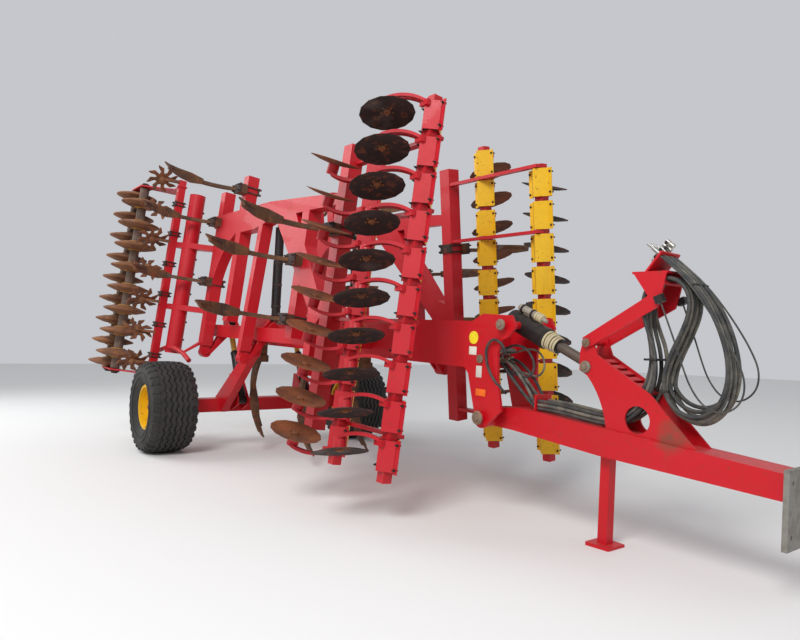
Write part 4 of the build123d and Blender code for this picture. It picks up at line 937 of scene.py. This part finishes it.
valveZinc = plainMetal("valveZinc", srgb("8F8F8C"), 0.8, 0.35, 0.4)
fitted(repeated(valve, valves), "valveCaps", "coupler_steel", "frame", valveZinc)
eccentric = turned([
    (0.024, 0), (0.029, 0.002), (0.029, 0.012), (0.025, 0.014), (0.012, 0.0145), (0.010, 0.020), (0.006, 0.021),
], 24)
moved(eccentric, sideways(3.622, headstockHalf, 1.205, -1))
fitted(eccentric, "eccentricPin", "coupler_steel", "frame", pinLook)
print("headstock hoses are hung")

# tie bands round the hoses, and the black and chrome of the couplers at the rack
tieSettings = [
    # place, tilt, width and thickness
    ((5.006, 1.676), 48, 0.150, 0.030),
    ((4.786, 1.280), 88, 0.150, 0.078),
    ((4.864, 1.115), 86, 0.156, 0.034),
]
tieLook = plainMetal("tieBlack", srgb("141414"), 0, 0.5, 0.3)
ties = []
for (x, z), tilt, wide, thick in tieSettings:
    ties.append(moved(bar((0.012, wide, thick), edge=0.005), parkTurn @ at(x, 0, z, tilt, "Y")))
fitted(joined(ties), "hoseTies", "hose_rubber", "drawbar", tieLook)
rackSettings = {
    "place": (4.828, 0, 1.838), "facing": (-0.110, 0, 0.090),
    "lever": 0.056, "leverStep": 0.016, "leverTilt": 125,
}
rack = parkTurn @ at(*rackSettings["place"]) @ facing(rackSettings["facing"])
sleeve = turned([
    (0.0112, 0.013), (0.0140, 0.014), (0.0140, 0.030), (0.0118, 0.031), (0.0118, 0.044), (0.0138, 0.045),
    (0.0138, 0.068), (0.0112, 0.071),
], 18)
handle = turned([
    (0.004, 0.012), (0.005, 0.016), (0.005, 0.034), (0.0085, 0.037), (0.0085, 0.056), (0.006, 0.060),
], 12)
places = [rack @ at(0, hoseSettings["pitch"] * (index - 2.5), 0) for index in range(6)]
couplerChrome = plainMetal("couplerChrome", srgb("C9C6BE"), 0.95, 0.22, 0.4)
fitted(repeated(sleeve, places), "couplerBodies", "coupler_steel", "drawbar", couplerChrome)
levers = []
for index, place in enumerate(places):
    height = rackSettings["lever"] + rackSettings["leverStep"] * (index % 2)
    levers.append(place @ at(0, 0, height, rackSettings["leverTilt"], "Y"))
fitted(repeated(handle, levers), "couplerHandles", "black_paint", "drawbar", tieLook)
print("couplers are dressed")

# levelling stars: hub cap, washer and bolt on both faces
starSettings = {
    "x": -0.668, "level": -0.600, "first": -0.200, "pitch": 0.343, "count": 7, "angle": 50,
    "top": 0.0315, "bottom": -0.0195,
}
for name, side in sides.items():
    turns = []
    for index in range(starSettings["count"]):
        swing = radians(starSettings["angle"] * (1 if index % 2 else -1))
        outboard = starSettings["first"] + starSettings["pitch"] * index
        spot = wingTurn(side) @ at(starSettings["x"], outboard, starSettings["level"])
        axle = spot @ facing((sin(swing), cos(swing), 0))
        turns.append(axle @ at(0, 0, starSettings["top"]))
        turns.append(axle @ at(0, 0, starSettings["bottom"], 180, "X"))
    cap = turned([(0.040, 0), (0.040, 0.004), (0.032, 0.008), (0.024, 0.014), (0.015, 0.016)], 20)
    stud = moved(bolt(0.010, 0.012), at(0, 0, 0.014))
    rounds = repeated(bolt(0.006, 0.008), circle(4, 0.033, 0.003))
    hubs = repeated(joined([cap, stud, rounds]), turns)
    fitted(hubs, name + "StarHubs", "roller_rust", name + "_wing", ringLook)
print("stars are dressed")

# bolted clamps along the star beam, studs on the packer tube, and the steel pipe on each fold cylinder
beamSettings = {
    "star": (-0.590, -0.400), "places": [-0.110, 0.233, 0.576, 0.919, 1.262, 1.605],
    "strap": {
        "plates": [((0.106, 0.058, 0.010), 0.044), ((0.106, 0.058, 0.010), -0.044)],
        "rod": [
            (0.006, -0.062), (0.006, -0.052), (0.010, -0.0518), (0.010, -0.044), (0.006, -0.0435), (0.006, 0.049),
            (0.010, 0.0495), (0.010, 0.058), (0.006, 0.060), (0.005, 0.070),
        ],
        "spread": (0.046, 0.018),
    },
    "packer": (-0.500, -0.230), "packerRadius": 0.0845, "studs": [0.10, 0.30, 0.62, 0.85, 1.02, 1.34, 1.56],
    "foldFoot": (1.030, 0.450, 1.420), "foldHead": (1.030, 1.460, 0.095),
    "pipeOff": -0.0505, "saddles": [0.12, 0.33, 0.54],
}
for name, side in sides.items():
    x, level = beamSettings["star"]
    turns = [wingTurn(side) @ at(x, outboard, level) for outboard in beamSettings["places"]]
    clamps = repeated(strapUnit(beamSettings["strap"]), turns)
    fitted(clamps, name + "StarClamps", "black_paint", name + "_wing", clampSteel)
    x, level = beamSettings["packer"]
    studs = []
    for outboard in beamSettings["studs"]:
        for turn in (-90, 0):
            place = wingTurn(side) @ at(x, outboard, level, turn, "Y")
            studs.append(place @ at(0, 0, beamSettings["packerRadius"]))
    fitted(repeated(bolt(0.010, 0.016), studs), name + "PackerStuds", "black_paint", name + "_wing", clampSteel)
    x, outboard, z = beamSettings["foldFoot"]
    foot = parkTurn @ Vector((x, side * outboard, z))
    head = wingTurn(side) @ Vector(beamSettings["foldHead"])
    turn = Matrix.Translation(foot) @ facing(head - foot)
    run = turned([(0.004, 0.100), (0.006, 0.102), (0.006, 0.560), (0.004, 0.562)], 10)
    moved(run, at(beamSettings["pipeOff"], 0, 0))
    saddles = [
        turned([
            (0.0425, z - 0.010), (0.0455, z - 0.008), (0.0455, z + 0.008), (0.0425, z + 0.010),
        ], 28, hollow=True)
        for z in beamSettings["saddles"]
    ]
    pipe = joined([moved(run, turn), moved(joined(saddles), turn)])
    fitted(pipe, name + "FoldPipe", "black_paint", name + "_fold_barrel", clampSteel)
print("clamps and studs are on")

floorLook = Paint("paleFloor")
floorLook.finish(Base_Color=srgb("E4E4E2"), Roughness=0.9)
stageSettings = {
    "floorSize": 60, "aim": (0, 0, 1.2), "skyColour": (0.93, 0.95, 1, 1), "skyStrength": 0.6,
    # each lamp's place, size and energy
    "lamps": {"keyLamp": ((5.5, -8, 8.5), 5, 900), "fillLamp": ((-7, -5, 6), 7, 380)},
}
bpy.ops.object.select_all(action="DESELECT")
bpy.ops.mesh.primitive_plane_add(size=stageSettings["floorSize"], location=(0, 0, 0))
floor = bpy.context.object
floor.name = "floor"
floor.data.materials.append(floorLook.material)
for name, (place, size, energy) in stageSettings["lamps"].items():
    lamp = bpy.data.lights.new(name, "AREA")
    lamp.shape = "DISK"
    lamp.size = size
    lamp.energy = energy
    holder = bpy.data.objects.new(name, lamp)
    bpy.context.scene.collection.objects.link(holder)
    holder.location = place
    aim = Vector(stageSettings["aim"]) - Vector(place)
    holder.rotation_euler = aim.to_track_quat("-Z", "Y").to_euler()
world = bpy.data.worlds.new("studioWorld")
world.use_nodes = True
bpy.context.scene.world = world
sky = world.node_tree.nodes["Background"]
sky.inputs["Color"].default_value = stageSettings["skyColour"]
sky.inputs["Strength"].default_value = stageSettings["skyStrength"]

cameraSettings = {
    "place": (4.795, -3.236, 1.120),
    "right": (0.604519, 0.796292, 0.021791),
    "up": (0.021808, -0.043888, 0.998798),
    "forward": (-0.796292, 0.603318, 0.043897),
    "lens": 28.76, "sensor": 36, "reach": 200,
}
lens = bpy.data.cameras.new("photoCamera")
lens.lens = cameraSettings["lens"]
lens.sensor_width = cameraSettings["sensor"]
lens.clip_end = cameraSettings["reach"]
viewer = bpy.data.objects.new("photoCamera", lens)
bpy.context.scene.collection.objects.link(viewer)
turnRows = [Vector(cameraSettings["right"]), Vector(cameraSettings["up"]), -Vector(cameraSettings["forward"])]
viewer.matrix_world = Matrix.Translation(cameraSettings["place"]) @ Matrix(turnRows).transposed().to_4x4()
bpy.context.scene.camera = viewer
bpy.context.scene.view_settings.view_transform = "Standard"
print("camera and lights are set")

bpy.context.view_layer.update()
